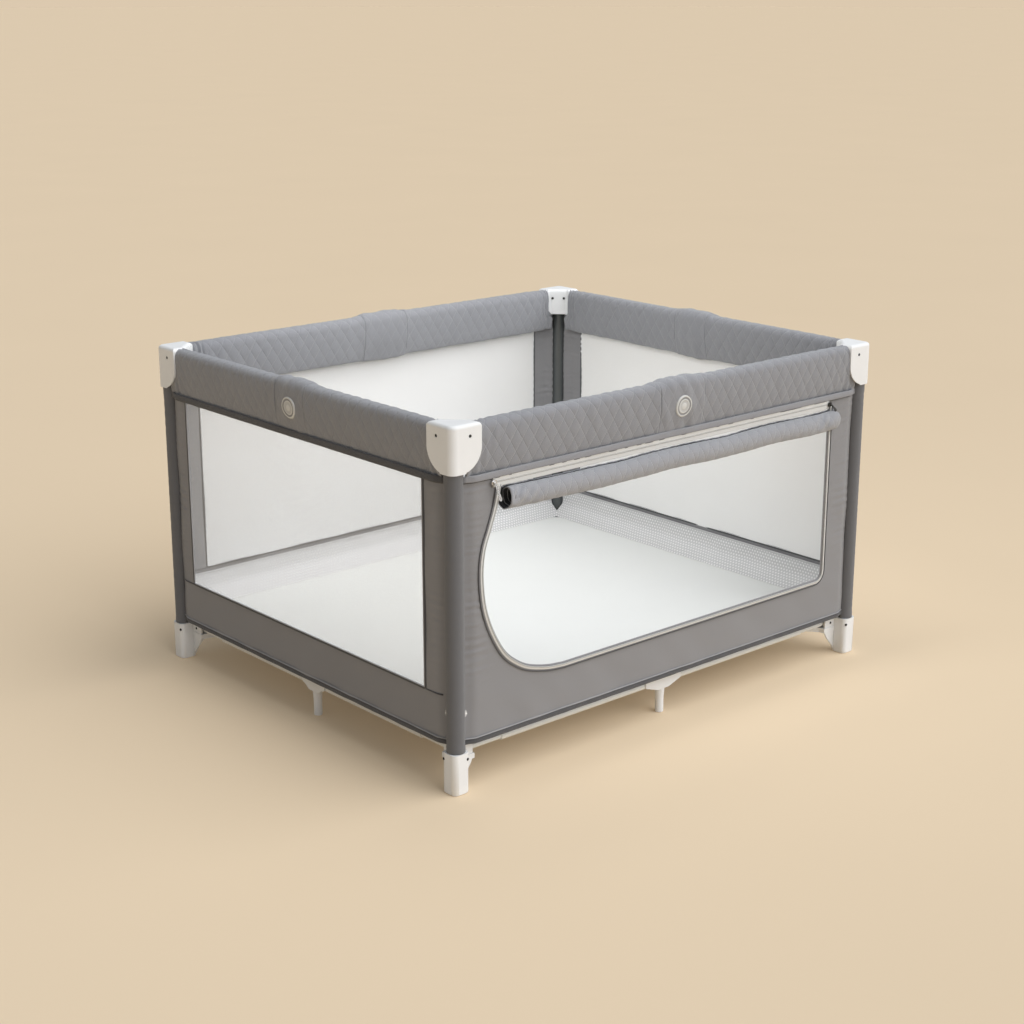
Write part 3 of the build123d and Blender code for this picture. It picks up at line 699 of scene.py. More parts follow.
def draw_in(side, along):
    """How far a wall lies back towards the plane of the posts, close to its ends."""
    away = SPAN[SIDES[side][0]] - SLEEVE_EDGE - np.abs(along)
    return (WALL_OUT - SLEEVE_OUT) * (1 - smooth_step(0, DRAW_WIDTH, away))


def thicken(obj, thickness, offset):
    thick = obj.modifiers.new("thick", "SOLIDIFY")
    thick.thickness = thickness
    thick.offset = offset
    return thick


def add_sleeve(corner, seed):
    """Fabric sleeve round a post's outer side, between the two wall panels."""
    end = math.atan2(SLEEVE_OUT, SLEEVE_EDGE)
    arc = TAU * 3 / 4 - 2 * end
    turn = -end - arc * np.linspace(0, 1, 40)[None, :]
    height = np.linspace(FOOT_TOP + 0.001, float(cap_low[2]) + 0.004, 170)[:, None]
    radius = SLEEVE_RADIUS + 0.00018 * ripples(height, turn * 0.004, seed, 6, 0.008, 0.03, 0.0, 0.15)
    radius = radius + 0.0007 * smooth_step(WALL_TOP - 0.006, WALL_TOP - 0.002, height)
    radius = radius + 0.0006 * smooth_step(0.104, 0.100, height)
    points = corner_points(corner, radius * np.cos(turn), radius * np.sin(turn), height)
    uv = grid_uv(turn * SLEEVE_RADIUS, height)
    obj = mesh_object(f"post_sleeve_{corner}", points, grid_faces(*radius.shape), [sleeve_cloth], uv=uv)
    thicken(obj, 0.0012, 0)
    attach(obj, f"corner_{corner}")


for number, corner in enumerate(CORNERS):
    add_sleeve(corner, 100 + number)

# ---- wall panels
STRIP = 0.060  # grey strip between a sleeve and the window
BAND_TOP = 0.203
DOOR_LEFT_EDGE = (
    # along, height, from the top down
    (-0.505, 0.628),
    (-0.515, 0.585),
    (-0.530, 0.543),
    (-0.546, 0.500),
    (-0.552, 0.450),
    (-0.547, 0.391),
    (-0.534, 0.345),
    (-0.514, 0.303),
    (-0.490, 0.268),
    (-0.458, 0.242),
    (-0.425, 0.225),
    (-0.375, 0.212),
    (-0.330, 0.207),
)
DOOR_RIGHT = 0.500
DOOR_SILL = 0.207
DOOR_TOP = 0.628
DOOR_CORNER = 0.025
WALL_STEP = 0.0068
WALL_RISE = 0.0042


def door_edge(step):
    """The door opening's edge from its top left, down, along the sill and up to its top right."""
    curve = spline(np.array(DOOR_LEFT_EDGE), 8)
    centre = np.array((DOOR_RIGHT - DOOR_CORNER, DOOR_SILL + DOOR_CORNER))
    turn = np.linspace(-math.pi / 2, 0, 9)[:, None]
    bend = centre + DOOR_CORNER * np.hstack([np.cos(turn), np.sin(turn)])
    return even_path(np.vstack([curve, bend, [(DOOR_RIGHT, DOOR_TOP)]]), step)


def inside_polygon(x, y, polygon):
    inside = np.zeros(x.shape, bool)
    for (x1, y1), (x2, y2) in zip(polygon, np.roll(polygon, -1, axis=0)):
        crosses = (y1 > y) != (y2 > y)
        with np.errstate(divide="ignore", invalid="ignore"):
            inside ^= crosses & (x < (x2 - x1) * (y - y1) / (y2 - y1) + x1)
    return inside


def wall_relief(along, height, half, seed):
    """Fine tension wrinkles beside the posts and a slight pull along the hem."""
    strip = np.exp(-((half - np.abs(along) - 0.040) / 0.035) ** 2)
    above = smooth_step(BAND_TOP, BAND_TOP + 0.05, height)
    fine = ripples(height, along * 0.12, seed, 9, 0.009, 0.022, 0.0, 0.10)
    slow = ripples(height, along, seed + 1, 6, 0.10, 0.30, 0.9, 0.5)
    diagonal = ripples(along, height, seed + 2, 5, 0.05, 0.12, 0.8, 0.25)
    low = 1 - smooth_step(BAND_TOP - 0.03, BAND_TOP + 0.02, height)
    return 0.00075 * fine * strip * above + 0.0007 * slow + 0.0005 * diagonal * low


SQUASH_KEEP = {
    span: (half * FOLDED_SHARE - SLEEVE_EDGE) / (half - SLEEVE_EDGE) for span, half in SPAN.items()
}


def squash_with_side(obj, side):
    """Attach a piece to the corner that carries its side, with a mesh of its own."""
    span, _, direction = SIDES[side]
    sign = -1 if WALL_BODY[side] == "corner_front_left" else 1
    place = sign * (SPAN[span] - SLEEVE_EDGE) * direction
    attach(obj, WALL_BODY[side])
    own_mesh(obj)


def stations(marks, step):
    """Places from mark to mark, about a step apart."""
    counts = [max(2, int(round((b - a) / step))) for a, b in zip(marks, marks[1:])]
    runs = [np.linspace(a, b, n, endpoint=False) for a, b, n in zip(marks, marks[1:], counts)]
    return np.concatenate(runs + [marks[-1:]])


def cut_door(faces, a, h, edge):
    """Faces left round the door, and the grid's places with those beside its edge moved onto it."""
    places = np.stack([a.ravel(), h.ravel()], axis=1)
    hole = inside_polygon(places[:, 0], places[:, 1], edge)
    outline = np.vstack([edge, even_path(np.array((edge[-1], edge[0])), 0.002)])
    count = hole[faces].sum(axis=1)
    beside = np.unique(faces[(count > 0) & (count < 4)])
    for k in beside[hole[beside]]:
        places[k] = outline[np.argmin(((outline - places[k]) ** 2).sum(axis=1))]
    return faces[count < 4], *places.T.reshape(2, *a.shape)


def add_wall(side, seed):
    """One wall: grey strips and band round a white net window, or the door side's grey panel."""
    half = SPAN[SIDES[side][0]]
    end = half - SLEEVE_EDGE + 0.001
    window = half - SLEEVE_EDGE - STRIP
    bottom, top = WALL_BOTTOM + 0.002, PAD_BOTTOM + 0.002
    flat = (2 * end, top - bottom)
    area = flat[0] * flat[1]
    a, h = np.meshgrid(
        stations([-end, -window, window, end], WALL_STEP), stations([bottom, BAND_TOP, top], WALL_RISE)
    )
    faces = grid_faces(*a.shape)
    if side == "front":
        edge = door_edge(0.002)
        x, y = edge.T
        area -= 0.5 * abs(float(np.dot(x, np.roll(y, 1)) - np.dot(y, np.roll(x, 1))))
        faces, a, h = cut_door(faces, a, h, edge)
    relief = wall_relief(a, h, half, seed)
    window_here = (np.abs(a) < window - 1e-4) & (h > BAND_TOP + 1e-4) & (side != "front")
    relief = np.where(window_here, relief * 0.5, relief)
    points = place_on_side(side, a, WALL_OUT + relief - draw_in(side, a), h)
    middle_along, middle_height = (values.ravel()[faces].mean(axis=1) for values in (a, h))
    net = (np.abs(middle_along) < window) & (middle_height > BAND_TOP) & (side != "front")
    if side not in ("front", "right"):
        faces = faces[:, ::-1]
    # the back window takes the darker copy of the net, which is painted shade
    window_cloth = {"left": sheer_net_cloth, "back": shaded_back_net_cloth}.get(side, net_cloth)
    cloths = [wall_cloth, window_cloth]
    obj = mesh_object(f"wall_panel_{side}", points, faces, cloths, net.astype(int), grid_uv(a, h))
    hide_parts(f"wall_{side}")
    squash_with_side(obj, side)


# ---- bindings, piping and zipper
def sweep_on_side(name, side, path, section, material, waver=0.0, seed=0):
    """A trim along a path in a side's plane.

    path is (along, height); section is a closed ring of (across the path, outward)."""
    tangent = np.gradient(path, axis=0)
    tangent /= np.linalg.norm(tangent, axis=1, keepdims=True)
    length = run_length(path)
    wave = waver * ripples(length, 0 * length, seed, 6, 0.03, 0.12)
    along = path[:, None, 0] - tangent[:, None, 1] * section[None, :, 0]
    height = path[:, None, 1] + tangent[:, None, 0] * section[None, :, 0]
    out = section[None, :, 1] + wave[:, None] - draw_in(side, along)
    points = place_on_side(side, along, out, height)
    uv = grid_uv(length[:, None], run_length(section)[None, :])
    obj = mesh_object(name, points, tube_faces(*along.shape), [material], uv=uv)
    turn_outward(obj)
    return obj


def flat_section(width, thick, out, sides=14):
    """Ring of a flat ribbon with round edges, its middle a distance out from the posts' plane."""
    turn = full_turn(sides)
    across = np.sign(np.cos(turn)) * np.abs(np.cos(turn)) ** 0.4 * width / 2
    return np.stack([across, out + np.sin(turn) * thick / 2], axis=1)


def round_section(radius, out, sides=10):
    turn = full_turn(sides)
    return np.stack([radius * np.cos(turn), out + radius * np.sin(turn)], axis=1)


HEM_HEIGHT = 0.014
HEM_OUT = 0.0160
HEM_RISE = 0.0065
PIPING_WIDTH = 0.0045
WINDOW_CORNER = 0.003
STRIP_SEAM_SHARE = 0.80  # how far the window's lower seam runs on across the strip
ZIP_LEFT = float(slider_low[0] + slider_high[0]) / 2
ZIP_RIGHT = 0.494
ZIP_Z = 0.6338
TAPE_WIDTH = 0.0095
TAPE_SHIFT = TAPE_WIDTH / 2 + 0.0009
ZIP_OUT = WALL_OUT + 0.0026


def straight(first, last, height):
    return even_path(np.array(((first, height), (last, height))), 0.006)


def window_outline(window, top):
    """Path round a mesh window, with rounded lower corners, open at the top."""
    r = WINDOW_CORNER
    turn = np.linspace(0, math.pi / 2, 6)
    left = np.stack([-window + r - r * np.cos(turn), BAND_TOP + r - r * np.sin(turn)], axis=1)
    right = left[::-1] * (-1, 1)
    return even_path(np.vstack([[(-window, top)], left, right, [(window, top)]]), 0.006)


def edge_trims(side, end):
    """Trims along a wall's upper and lower edge: name, path, section, cloth, waver, seed's shift."""
    hem_cover = hem_cloth if side in ("front", "back") else piping_cloth
    hem_z = PAD_BOTTOM - HEM_HEIGHT / 2 + HEM_RISE
    hem, under, lower, cord = (
        straight(-end, end, height)
        for height in (hem_z, hem_z - HEM_HEIGHT / 2 - 0.0008, WALL_BOTTOM + 0.005, WALL_BOTTOM + 0.0125)
    )
    return [
        (f"pad_hem_{side}", hem, flat_section(HEM_HEIGHT, 0.0042, HEM_OUT), hem_cover, 0.0004, 0),
        (f"hem_seam_{side}", under, round_section(0.0013, HEM_OUT - 0.002), piping_cloth, 0.0003, 1),
        (f"lower_binding_{side}", lower, flat_section(0.010, 0.0040, WALL_OUT), piping_cloth, 0.0005, 2),
        (f"lower_cord_{side}", cord, round_section(0.0012, WALL_OUT + 0.0014), light_piping, 0.0003, 3),
    ]


def door_trims():
    """The same for the door's edge and its open zipper."""
    edge = door_edge(0.004)
    upper, lower, middle = (straight(ZIP_LEFT, ZIP_RIGHT, ZIP_Z + z) for z in (TAPE_SHIFT, -TAPE_SHIFT, 0))
    tape = flat_section(TAPE_WIDTH, 0.0016, ZIP_OUT)
    edge_teeth = round_section(0.0013, WALL_OUT + 0.0042) + (0.0022, 0)
    edge_seam = round_section(0.0011, WALL_OUT + 0.0022) - (0.0070, 0)
    return [
        ("door_binding", edge, flat_section(0.014, 0.0034, WALL_OUT + 0.0004), wall_cloth, 0.0, 0),
        ("door_zip_tape", edge, flat_section(0.0062, 0.0016, WALL_OUT + 0.0030), zip_tape, 0.0, 0),
        ("door_zip_teeth", edge, edge_teeth, zip_coil, 0.0, 0),
        ("door_edge_seam", edge, edge_seam, piping_cloth, 0.0, 0),
        ("zip_tape_upper", upper, tape, zip_tape, 0.0003, 4),
        ("zip_tape_lower", lower, tape, zip_tape, 0.0003, 4),
        ("zip_teeth", middle, flat_section(0.0032, 0.0026, ZIP_OUT + 0.0006), zip_coil, 0.0003, 4),
    ]


def window_trims(side, window):
    """The same for a mesh window and the seams that run on from its lower edge."""
    outline = window_outline(window, PAD_BOTTOM)
    piping = flat_section(PIPING_WIDTH, 0.0032, WALL_OUT + 0.0006)
    cord = round_section(0.0012, WALL_OUT + 0.0012) + (0.0036, 0)
    seam = round_section(0.0015, WALL_OUT + 0.0004)
    seam_end = window + STRIP * STRIP_SEAM_SHARE
    return [
        (f"window_piping_{side}", outline, piping, piping_cloth, 0.0, 0),
        (f"window_cord_{side}", outline, cord, light_piping, 0.0, 0),
        (f"strip_seam_{side}_near", straight(-seam_end, -window, BAND_TOP), seam, piping_cloth, 0.0, 0),
        (f"strip_seam_{side}_far", straight(window, seam_end, BAND_TOP), seam, piping_cloth, 0.0, 0),
    ]


def add_trims(side, seed):
    """Everything sewn onto one wall, which moves with it."""
    end = SPAN[SIDES[side][0]] - SLEEVE_EDGE
    rows = edge_trims(side, end) + (door_trims() if side == "front" else window_trims(side, end - STRIP))
    trims = []
    for name, path, section, cloth, waver, shift in rows:
        trim = sweep_on_side(name, side, path, section, cloth, waver, seed + shift)
        squash_with_side(trim, side)
        trims.append(trim)
    return trims


LINER_TOP = 0.192
LINER_BACK = WALL_OUT - 0.0034  # the lining's top lies against the wall
LINER_SECTION = (
    (LINER_BACK, LINER_TOP),
    (LINER_BACK - 0.0008, 0.176),
    (LINER_BACK - 0.0050, 0.156),
    (-0.0140, 0.140),
    (-0.0310, 0.1245),
)


def add_liner(side, seed):
    """Dotted lining inside the pen, from the wall down to the edge of the floor mat."""
    end = SPAN[SIDES[side][0]] - SLEEVE_EDGE - 0.001
    section = even_path(spline(np.array(LINER_SECTION), 8), 0.0055)
    along = np.linspace(-end, end, int(2 * end / 0.012))[:, None]
    height = section[None, :, 1]
    wave = ripples(along, height, seed, 7, 0.05, 0.18, 0.2, 0.4)
    near_end = np.clip((end - np.abs(along)) / 0.03, 0, 1)
    out = section[None, :, 0] + 0.0012 * wave * (1 - smooth_step(0.172, LINER_TOP, height)) * near_end
    out = out - draw_in(side, along) * smooth_step(0.150, LINER_TOP, height)
    run = run_length(section)
    points = place_on_side(side, along, out, height)
    uv = grid_uv(along, -run[None, :])
    obj = mesh_object(f"inner_lining_{side}", points, grid_faces(*out.shape), [lining_cloth], uv=uv)
    tape = flat_section(0.006, 0.0018, LINER_BACK - 0.0004)
    path = straight(-end, end, LINER_TOP)
    binding = sweep_on_side(f"lining_binding_{side}", side, path, tape, lining_binding, 0.0002, seed)
    squash_with_side(binding, side)
    squash_with_side(obj, side)


for number, side in enumerate(SIDES):
    trims = add_trims(side, 300 + 10 * number)
    add_wall(side, 200 + 10 * number)
    add_liner(side, 400 + 10 * number)


# ---- rolled-up door panel
ROLL_OUT = 0.018  # its axis, outside the plane of the posts
ROLL_Z = float(roll_low[2] + roll_high[2]) / 2
ROLL_HALF_HEIGHT = 0.0250
ROLL_HALF_DEPTH = 0.0205
ROLL_MEAN = 0.022  # mean radius
ROLL_TURNS = 4.6
ROLL_INNER = 0.30  # radius of the innermost turn, as a share of the outermost
ROLL_FIRST = -0.503
ROLL_LAST = 0.520
ROLL_END = 0.020  # how far from its right end the roll starts to close
CREASES = (
    # along, turn in degrees from the top towards the outside, width, depth
    (0.438, 78.0, 0.0060, 0.0040),
    (0.456, 55.0, 0.0050, 0.0040),
    (0.472, 88.0, 0.0045, 0.0026),
    (-0.470, 60.0, 0.0060, 0.0055),
    (-0.446, 84.0, 0.0060, 0.0040),
    (-0.422, 100.0, 0.0070, 0.0030),
)


def add_roll():
    """The quilted door panel rolled up from below, open at its left end and closed at its right."""
    turn = np.linspace(-ROLL_TURNS * TAU, 0, int(ROLL_TURNS * 46))[None, :]
    share = 1 + turn / (ROLL_TURNS * TAU)
    first = ROLL_FIRST + 0.045 * (1 - share) ** 0.7
    x = first + (ROLL_LAST - first) * np.linspace(0, 1, 210)[:, None]
    # angle 0 points up, growing towards the outside of the pen
    angle = turn + math.radians(-25)
    from_left = np.clip(x - ROLL_FIRST, 0, None)
    from_right = np.clip(ROLL_LAST - x, 0, None)
    gather = np.exp(-from_left / 0.050) + 0.8 * np.exp(-from_right / 0.035)
    around = angle * ROLL_MEAN
    slant = ripples(x - around * 1.3, 0.4 * around, 61, 7, 0.020, 0.055, 0.0, 0.15)
    slack = ripples(x, around, 62, 8, 0.06, 0.20, 0.3, 0.5)
    radius = (ROLL_INNER + (1 - ROLL_INNER) * share) * (1 + 0.055 * slant * gather + 0.016 * slack)
    v = share * 0.42
    outer_turn = smooth_step(-1.15 * TAU, -0.95 * TAU, turn)
    radius = radius + 0.040 * outer_turn * (diamonds(x, v) ** 0.6 - 0.5)
    for place, degrees, width, depth in CREASES:
        off = angle - math.radians(degrees)
        lean = (x - place) + 0.018 * np.sin(off)
        reach = np.exp(-((np.cos(off) - 1) ** 2) / 0.10)
        radius = radius - depth / ROLL_MEAN * np.exp(-((lean / width) ** 2)) * reach * outer_turn
    # the right end closes to a rounded edge, the left end flares slightly
    closing = (1 - from_right / ROLL_END).clip(0, 1)
    radius = radius * (1 - 0.42 * (1 - np.sqrt(1 - closing**2)))
    radius = radius * (1 + 0.06 * np.exp(-from_left / 0.012))
    sag = -0.0025 * np.cos(math.pi * x / 1.1) + 0.0015 * ripples(x, 0 * x, 63, 4, 0.2, 0.6, 0.0, 0.0)
    out = ROLL_OUT + radius * ROLL_HALF_DEPTH * np.sin(angle)
    height = ROLL_Z + radius * ROLL_HALF_HEIGHT * np.cos(angle) + sag
    points = place_on_side("front", x, out, height)
    faces = grid_faces(*out.shape)[:, ::-1]
    # its outside wears the lightened copy of the quilted cloth, which paints light on the roll
    obj = mesh_object("rolled_door_panel", points, faces, [lightened_roll_cloth, dark_lining], uv=grid_uv(x, v))
    set_quilt(obj, 1 - 0.6 * np.clip(gather, 0, 1))
    thicken(obj, 0.0022, -1).material_offset = 1
    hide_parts("door_roll")
    squash_with_side(obj, "front")


add_roll()


# ---- zip sliders
def plate(outline, thick, bevel):
    """A bmesh plate from an outline of (x, z), bevelled, lying in y from 0 to -thick."""
    mesh = bmesh.new()
    face = mesh.faces.new([mesh.verts.new((x, 0.0, z)) for x, z in outline])
    grown = bmesh.ops.extrude_face_region(mesh, geom=[face])
    moved = [e for e in grown["geom"] if isinstance(e, bmesh.types.BMVert)]
    bmesh.ops.translate(mesh, verts=moved, vec=(0, -thick, 0))
    bmesh.ops.recalc_face_normals(mesh, faces=mesh.faces)
    bmesh.ops.bevel(mesh, geom=list(mesh.edges), offset=bevel, segments=2, affect="EDGES")
    return mesh


SLIDER_OUTLINE = (
    (-0.0042, 0.0062),
    (-0.0052, 0.0030),
    (-0.0050, -0.0010),
    (-0.0034, -0.0060),
    (0.0034, -0.0060),
    (0.0050, -0.0010),
    (0.0052, 0.0030),
    (0.0042, 0.0062),
    (0.0018, 0.0070),
    (-0.0018, 0.0070),
)
SLIDER_Y = -HALF_Y - WALL_OUT - 0.0046
PULL_HALF = 0.0026
SILVER_PULL = 0.036
DARK_PULL = 0.020
PULL_TILT = -14  # degrees, away from the wall
BRIDGE_RADIUS = 0.0009
BRIDGE_SIDES = 8


def pull_outline(length):
    """Pull tab hanging down, narrow at its eye and round at its lower end."""
    turn = np.linspace(math.pi, 0, 12)
    end = np.stack([PULL_HALF * 1.5 * np.cos(turn), -length - PULL_HALF * 1.5 * np.sin(turn)], axis=1)
    eye, neck = PULL_HALF * 0.8, PULL_HALF * 0.9
    return [(-eye, 0.001), (-neck, -0.012), *end.tolist(), (neck, -0.012), (eye, 0.001)]


def add_bridge(name, place, material):
    """Round wire that arches over a slider."""
    arch = np.linspace(0, math.pi, 12)
    path = np.stack([0.0036 * np.cos(arch), -0.0026 - 0.0026 * np.sin(arch), 0 * arch + 0.0016], axis=1)
    tangent = np.gradient(path, axis=0)
    tangent /= np.linalg.norm(tangent, axis=1, keepdims=True)
    across = np.cross(tangent, (0.0, 0.0, 1.0))
    turn = full_turn(BRIDGE_SIDES)[None, :, None]
    ring = np.cos(turn) * across[:, None] + np.sin(turn) * np.cross(tangent, across)[:, None]
    points = (path + place)[:, None] + BRIDGE_RADIUS * ring
    uv = grid_uv(run_length(path)[:, None], turn[:, :, 0] * BRIDGE_RADIUS)
    obj = mesh_object(name, points.reshape(-1, 3), tube_faces(len(path), BRIDGE_SIDES), [material], uv=uv)
    turn_outward(obj)
    return obj


def add_slider(name, x, material, pull, swing, turn_round):
    """Slider body, its bridge and a pull tab that hangs from it.  Angles are in degrees."""
    place = (x, SLIDER_Y, ZIP_Z)
    body_mesh = plate(SLIDER_OUTLINE, 0.0026, 0.0006)
    body_mesh.transform(Matrix.Rotation(math.radians(turn_round), 4, "Y"))
    pull_mesh = plate(pull_outline(pull), 0.0012, 0.0004)
    pull_mesh.transform(Matrix.Rotation(math.radians(swing), 4, "Y"))
    pull_mesh.transform(Matrix.Rotation(math.radians(PULL_TILT), 4, "X"))
    pull_mesh.transform(Matrix.Translation((0, -0.0036, 0.0015)))
    parts = []
    for label, mesh in (("body", body_mesh), ("pull", pull_mesh)):
        mesh.transform(Matrix.Translation(place))
        data = bpy.data.meshes.new(f"{name}_{label}")
        mesh.to_mesh(data)
        mesh.free()
        data.materials.append(material)
        parts.append(new_object(f"{name}_{label}", data))
    parts.append(add_bridge(f"{name}_bridge", place, material))
    obj = parts[0]
    with bpy.context.temp_override(active_object=obj, selected_editable_objects=parts, object=obj):
        bpy.ops.object.join()
    obj.name = name
    return obj


silver_slider = add_slider("silver_zip_slider", ZIP_LEFT, slider_metal, SILVER_PULL, -12, 90)
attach(silver_slider, "zip_slider")
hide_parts("zip_slider")
dark_slider = add_slider("dark_zip_slider", ZIP_RIGHT, dark_slider_metal, DARK_PULL, -38, -90)
squash_with_side(dark_slider, "front")

# ---- badges and rivets
BADGE_RADIUS = 0.0235
BADGE_Z = -0.029  # from the rail's axis
BADGE_SIDES = 64
# from the middle outwards: place as a share of the radius, height
BADGE_REACH = np.array((0.0, 0.25, 0.30, 0.52, 0.56, 0.62, 0.66, 0.80, 0.84, 0.95, 1.0, 1.01))
BADGE_RISE = np.array((12, 14, 9, 9, 15, 16, 10, 10, 18, 19, 8, -20)) * 0.0001
BADGE_TONES = (0, 0, 1, 1, 0, 0, 2, 2, 0, 0, 0)


def add_badge(side):
    """Plain round patch of rings on the cover over a latch."""
    out_at, height_at = np.array(RAIL_PAD_PROFILE[3:7]).T
    turn = full_turn(BADGE_SIDES)
    radius = (BADGE_REACH * BADGE_RADIUS)[:, None]
    along = radius * np.cos(turn)
    height = BADGE_Z + radius * np.sin(turn)
    under = np.interp(height, height_at, out_at)
    swell = bump_swell(along, BUMP_HALF[SIDES[side][0]]) * smooth_step(-0.09, -0.03, height)
    out = under + BUMP_LIFT * swell + BADGE_RISE[:, None] + 0.0006
    points = place_on_side(side, along, out, RAIL_Z + height)
    faces = grid_faces(*along.shape, wrap_columns=True)
    tones = np.repeat(BADGE_TONES, BADGE_SIDES)
    plastics = [badge_ring, badge_core, badge_dark]
    obj = mesh_object(f"round_badge_{side}", points, faces, plastics, tones, grid_uv(along, height))
    turn_outward(obj, merge=1e-6)
    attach(obj, f"latch_{side}")


add_badge("front")
add_badge("left")

RIVET_PROFILE = ((0.0, 0.0014), (0.0014, 0.0013), (0.0025, 0.0009), (0.0032, 0.0), (0.0033, -0.0016))
RIVET_SIDES = 14
RIVET_SINK = 0.0006  # heads sit in shallow round recesses
RIVETS = (
    # inward from the post's axis, face outside it, height: on the cap, the foot and the foot's ears
    (0.024, float(cap_high[0] - cap_low[0]) - CAP_REACH - RIVET_SINK, 0.738),
    (0.014, POST_RADIUS + 0.0045 - RIVET_SINK, 0.074),
    (0.034, -0.0124, 0.0755),
)
WEB_RIVET = (0.0152, 0.738)  # to each side of the web's middle, height
WEB_FACE = 0.0415  # from the post's axis


def rivet(place, outward):
    """One domed head, its axis along outward."""
    outward = np.array(outward, float)
    one = np.cross(outward, (0, 0, 1))
    one /= np.linalg.norm(one)
    two = np.cross(outward, one)
    turn = full_turn(RIVET_SIDES)
    return [
        np.array(place) + outward * h + r * (math.cos(a) * one + math.sin(a) * two)
        for r, h in RIVET_PROFILE
        for a in turn
    ]


def add_rivets(corner):
    """Rivets of a corner's cap and foot."""
    sx, sy = CORNERS[corner]
    heads = []
    for reach, face, height in RIVETS:
        heads.append(rivet((sx * (HALF_X - reach), sy * (HALF_Y + face), height), (0, sy, 0)))
        heads.append(rivet((sx * (HALF_X + face), sy * (HALF_Y - reach), height), (sx, 0, 0)))
    inward = np.array((-sx, -sy, 0)) / math.sqrt(2)
    beside = np.array((-inward[1], inward[0], 0))
    middle = np.array((sx * HALF_X, sy * HALF_Y, WEB_RIVET[1])) + inward * WEB_FACE
    for shift in (-WEB_RIVET[0], WEB_RIVET[0]):
        heads.append(rivet(middle + beside * shift, inward))
    quads = grid_faces(len(RIVET_PROFILE), RIVET_SIDES, wrap_columns=True)
    faces = np.vstack([quads + len(heads[0]) * k for k in range(len(heads))])
    obj = mesh_object(f"rivets_{corner}", np.vstack(heads), faces, [rivet_metal])
    turn_outward(obj, merge=1e-6)
    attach(obj, f"corner_{corner}")


for corner in CORNERS:
    add_rivets(corner)


# ---- corner feet
FOOT_HALF = 0.0205  # half the cup's width
FOOT_ROUND = 0.0113  # radius of its corners
FOOT_WIDTH_IN = 0.0110  # the foot is trimmed as far in as this, beside its cup
FOOT_FAR = 0.075  # past the ears, from the post's axis
TRIM_GAP = 0.00015
TRIM_PAST = 0.01  # how far the trimmer runs past the foot at its top and bottom


def trim_outline():
    """Outline of what is trimmed beside the cup: rows of inward along one side and inward across it."""
    turn = np.linspace(-math.pi / 2, 0, 9)
    centre = FOOT_HALF - FOOT_ROUND
    reach = FOOT_ROUND + TRIM_GAP
    bend = np.stack([centre + reach * np.cos(turn), -centre + reach * np.sin(turn)], axis=1)
    side = FOOT_HALF + TRIM_GAP
    far = [(side, FOOT_WIDTH_IN), (FOOT_FAR, FOOT_WIDTH_IN), (FOOT_FAR, -0.030), (centre, -0.030)]
    return np.vstack([bend, far]).T


def add_foot(corner):
    """The corner's foot without its outer plates: a slim cup with the ears of the rails behind it."""
    obj = new_object(f"moulded_foot_{corner}", frame["nodes"][f"foot_{corner}"].data.copy())
    outline = trim_outline()
    height = np.array((-TRIM_PAST, FOOT_TOP + TRIM_PAST))[:, None]
    cutters = []
    for inward in (outline, outline[::-1]):
        points = corner_points(corner, *inward, height)
        faces = tube_faces(2, outline.shape[1])
        cutter = mesh_object("foot_trimmer", points, faces, [white_plastic], smooth=False)
        turn_outward(cutter)
        cutters.append(cutter)
        trim = obj.modifiers.new("trim", "BOOLEAN")
        trim.operation = "DIFFERENCE"
        trim.solver = "EXACT"
        trim.object = cutter
    depsgraph = bpy.context.evaluated_depsgraph_get()
    obj.data = bpy.data.meshes.new_from_object(obj.evaluated_get(depsgraph))
    obj.modifiers.clear()
    for cutter in cutters:
        bpy.data.objects.remove(cutter)
    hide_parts(f"foot_{corner}")
    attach(obj, f"corner_{corner}")


for corner in CORNERS:
    add_foot(corner)

# ---- mattress
MAT_CORNER = 0.035  # in plan
MAT_ROUND = 0.012  # along the rim


def add_mattress():
    """Thin floor mat with soft rounded edges."""
    low, high = np.array(mat_low, float), np.array(mat_high, float)
    half = (high - low) / 2
    middle = (high + low) / 2
    a, b = np.meshgrid(np.linspace(-1, 1, 118), np.linspace(-1, 1, 98))
    x, y = a * half[0], b * half[1]
    # round its corners in plan
    over_x = np.clip(np.abs(x) - (half[0] - MAT_CORNER), 0, None)
    over_y = np.clip(np.abs(y) - (half[1] - MAT_CORNER), 0, None)
    both = (over_x > 0) & (over_y > 0)
    pull = np.maximum(over_x, over_y) / np.maximum(np.hypot(over_x, over_y), 1e-9)
    x = np.where(both, np.sign(x) * (half[0] - MAT_CORNER + over_x * pull), x)
    y = np.where(both, np.sign(y) * (half[1] - MAT_CORNER + over_y * pull), y)
    edge = np.minimum(half[0] * (1 - np.abs(a)), half[1] * (1 - np.abs(b)))
    rim = half[2] * np.sqrt(np.clip(1 - (1 - np.clip(edge / MAT_ROUND, 0, 1)) ** 2, 0, 1))
    dents = ripples(x, y, 5, 8, 0.18, 0.5)
    top = rim * (1.0 - 0.04 * (1 + dents) * smooth_step(0, 0.05, edge))
    upper, lower = (np.stack([x, y, middle[2] + z], axis=-1).reshape(-1, 3) for z in (top, -rim))
    faces = grid_faces(*x.shape)
    vertices = np.vstack([upper, lower])
    faces = np.vstack([faces[:, ::-1], faces + len(upper)])
    obj = mesh_object("floor_mat", vertices, faces, [mat_cloth], uv=vertices[:, :2])
    turn_outward(obj, merge=0.0002)
    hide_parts("mattress")
    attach(obj, "mattress")


add_mattress()


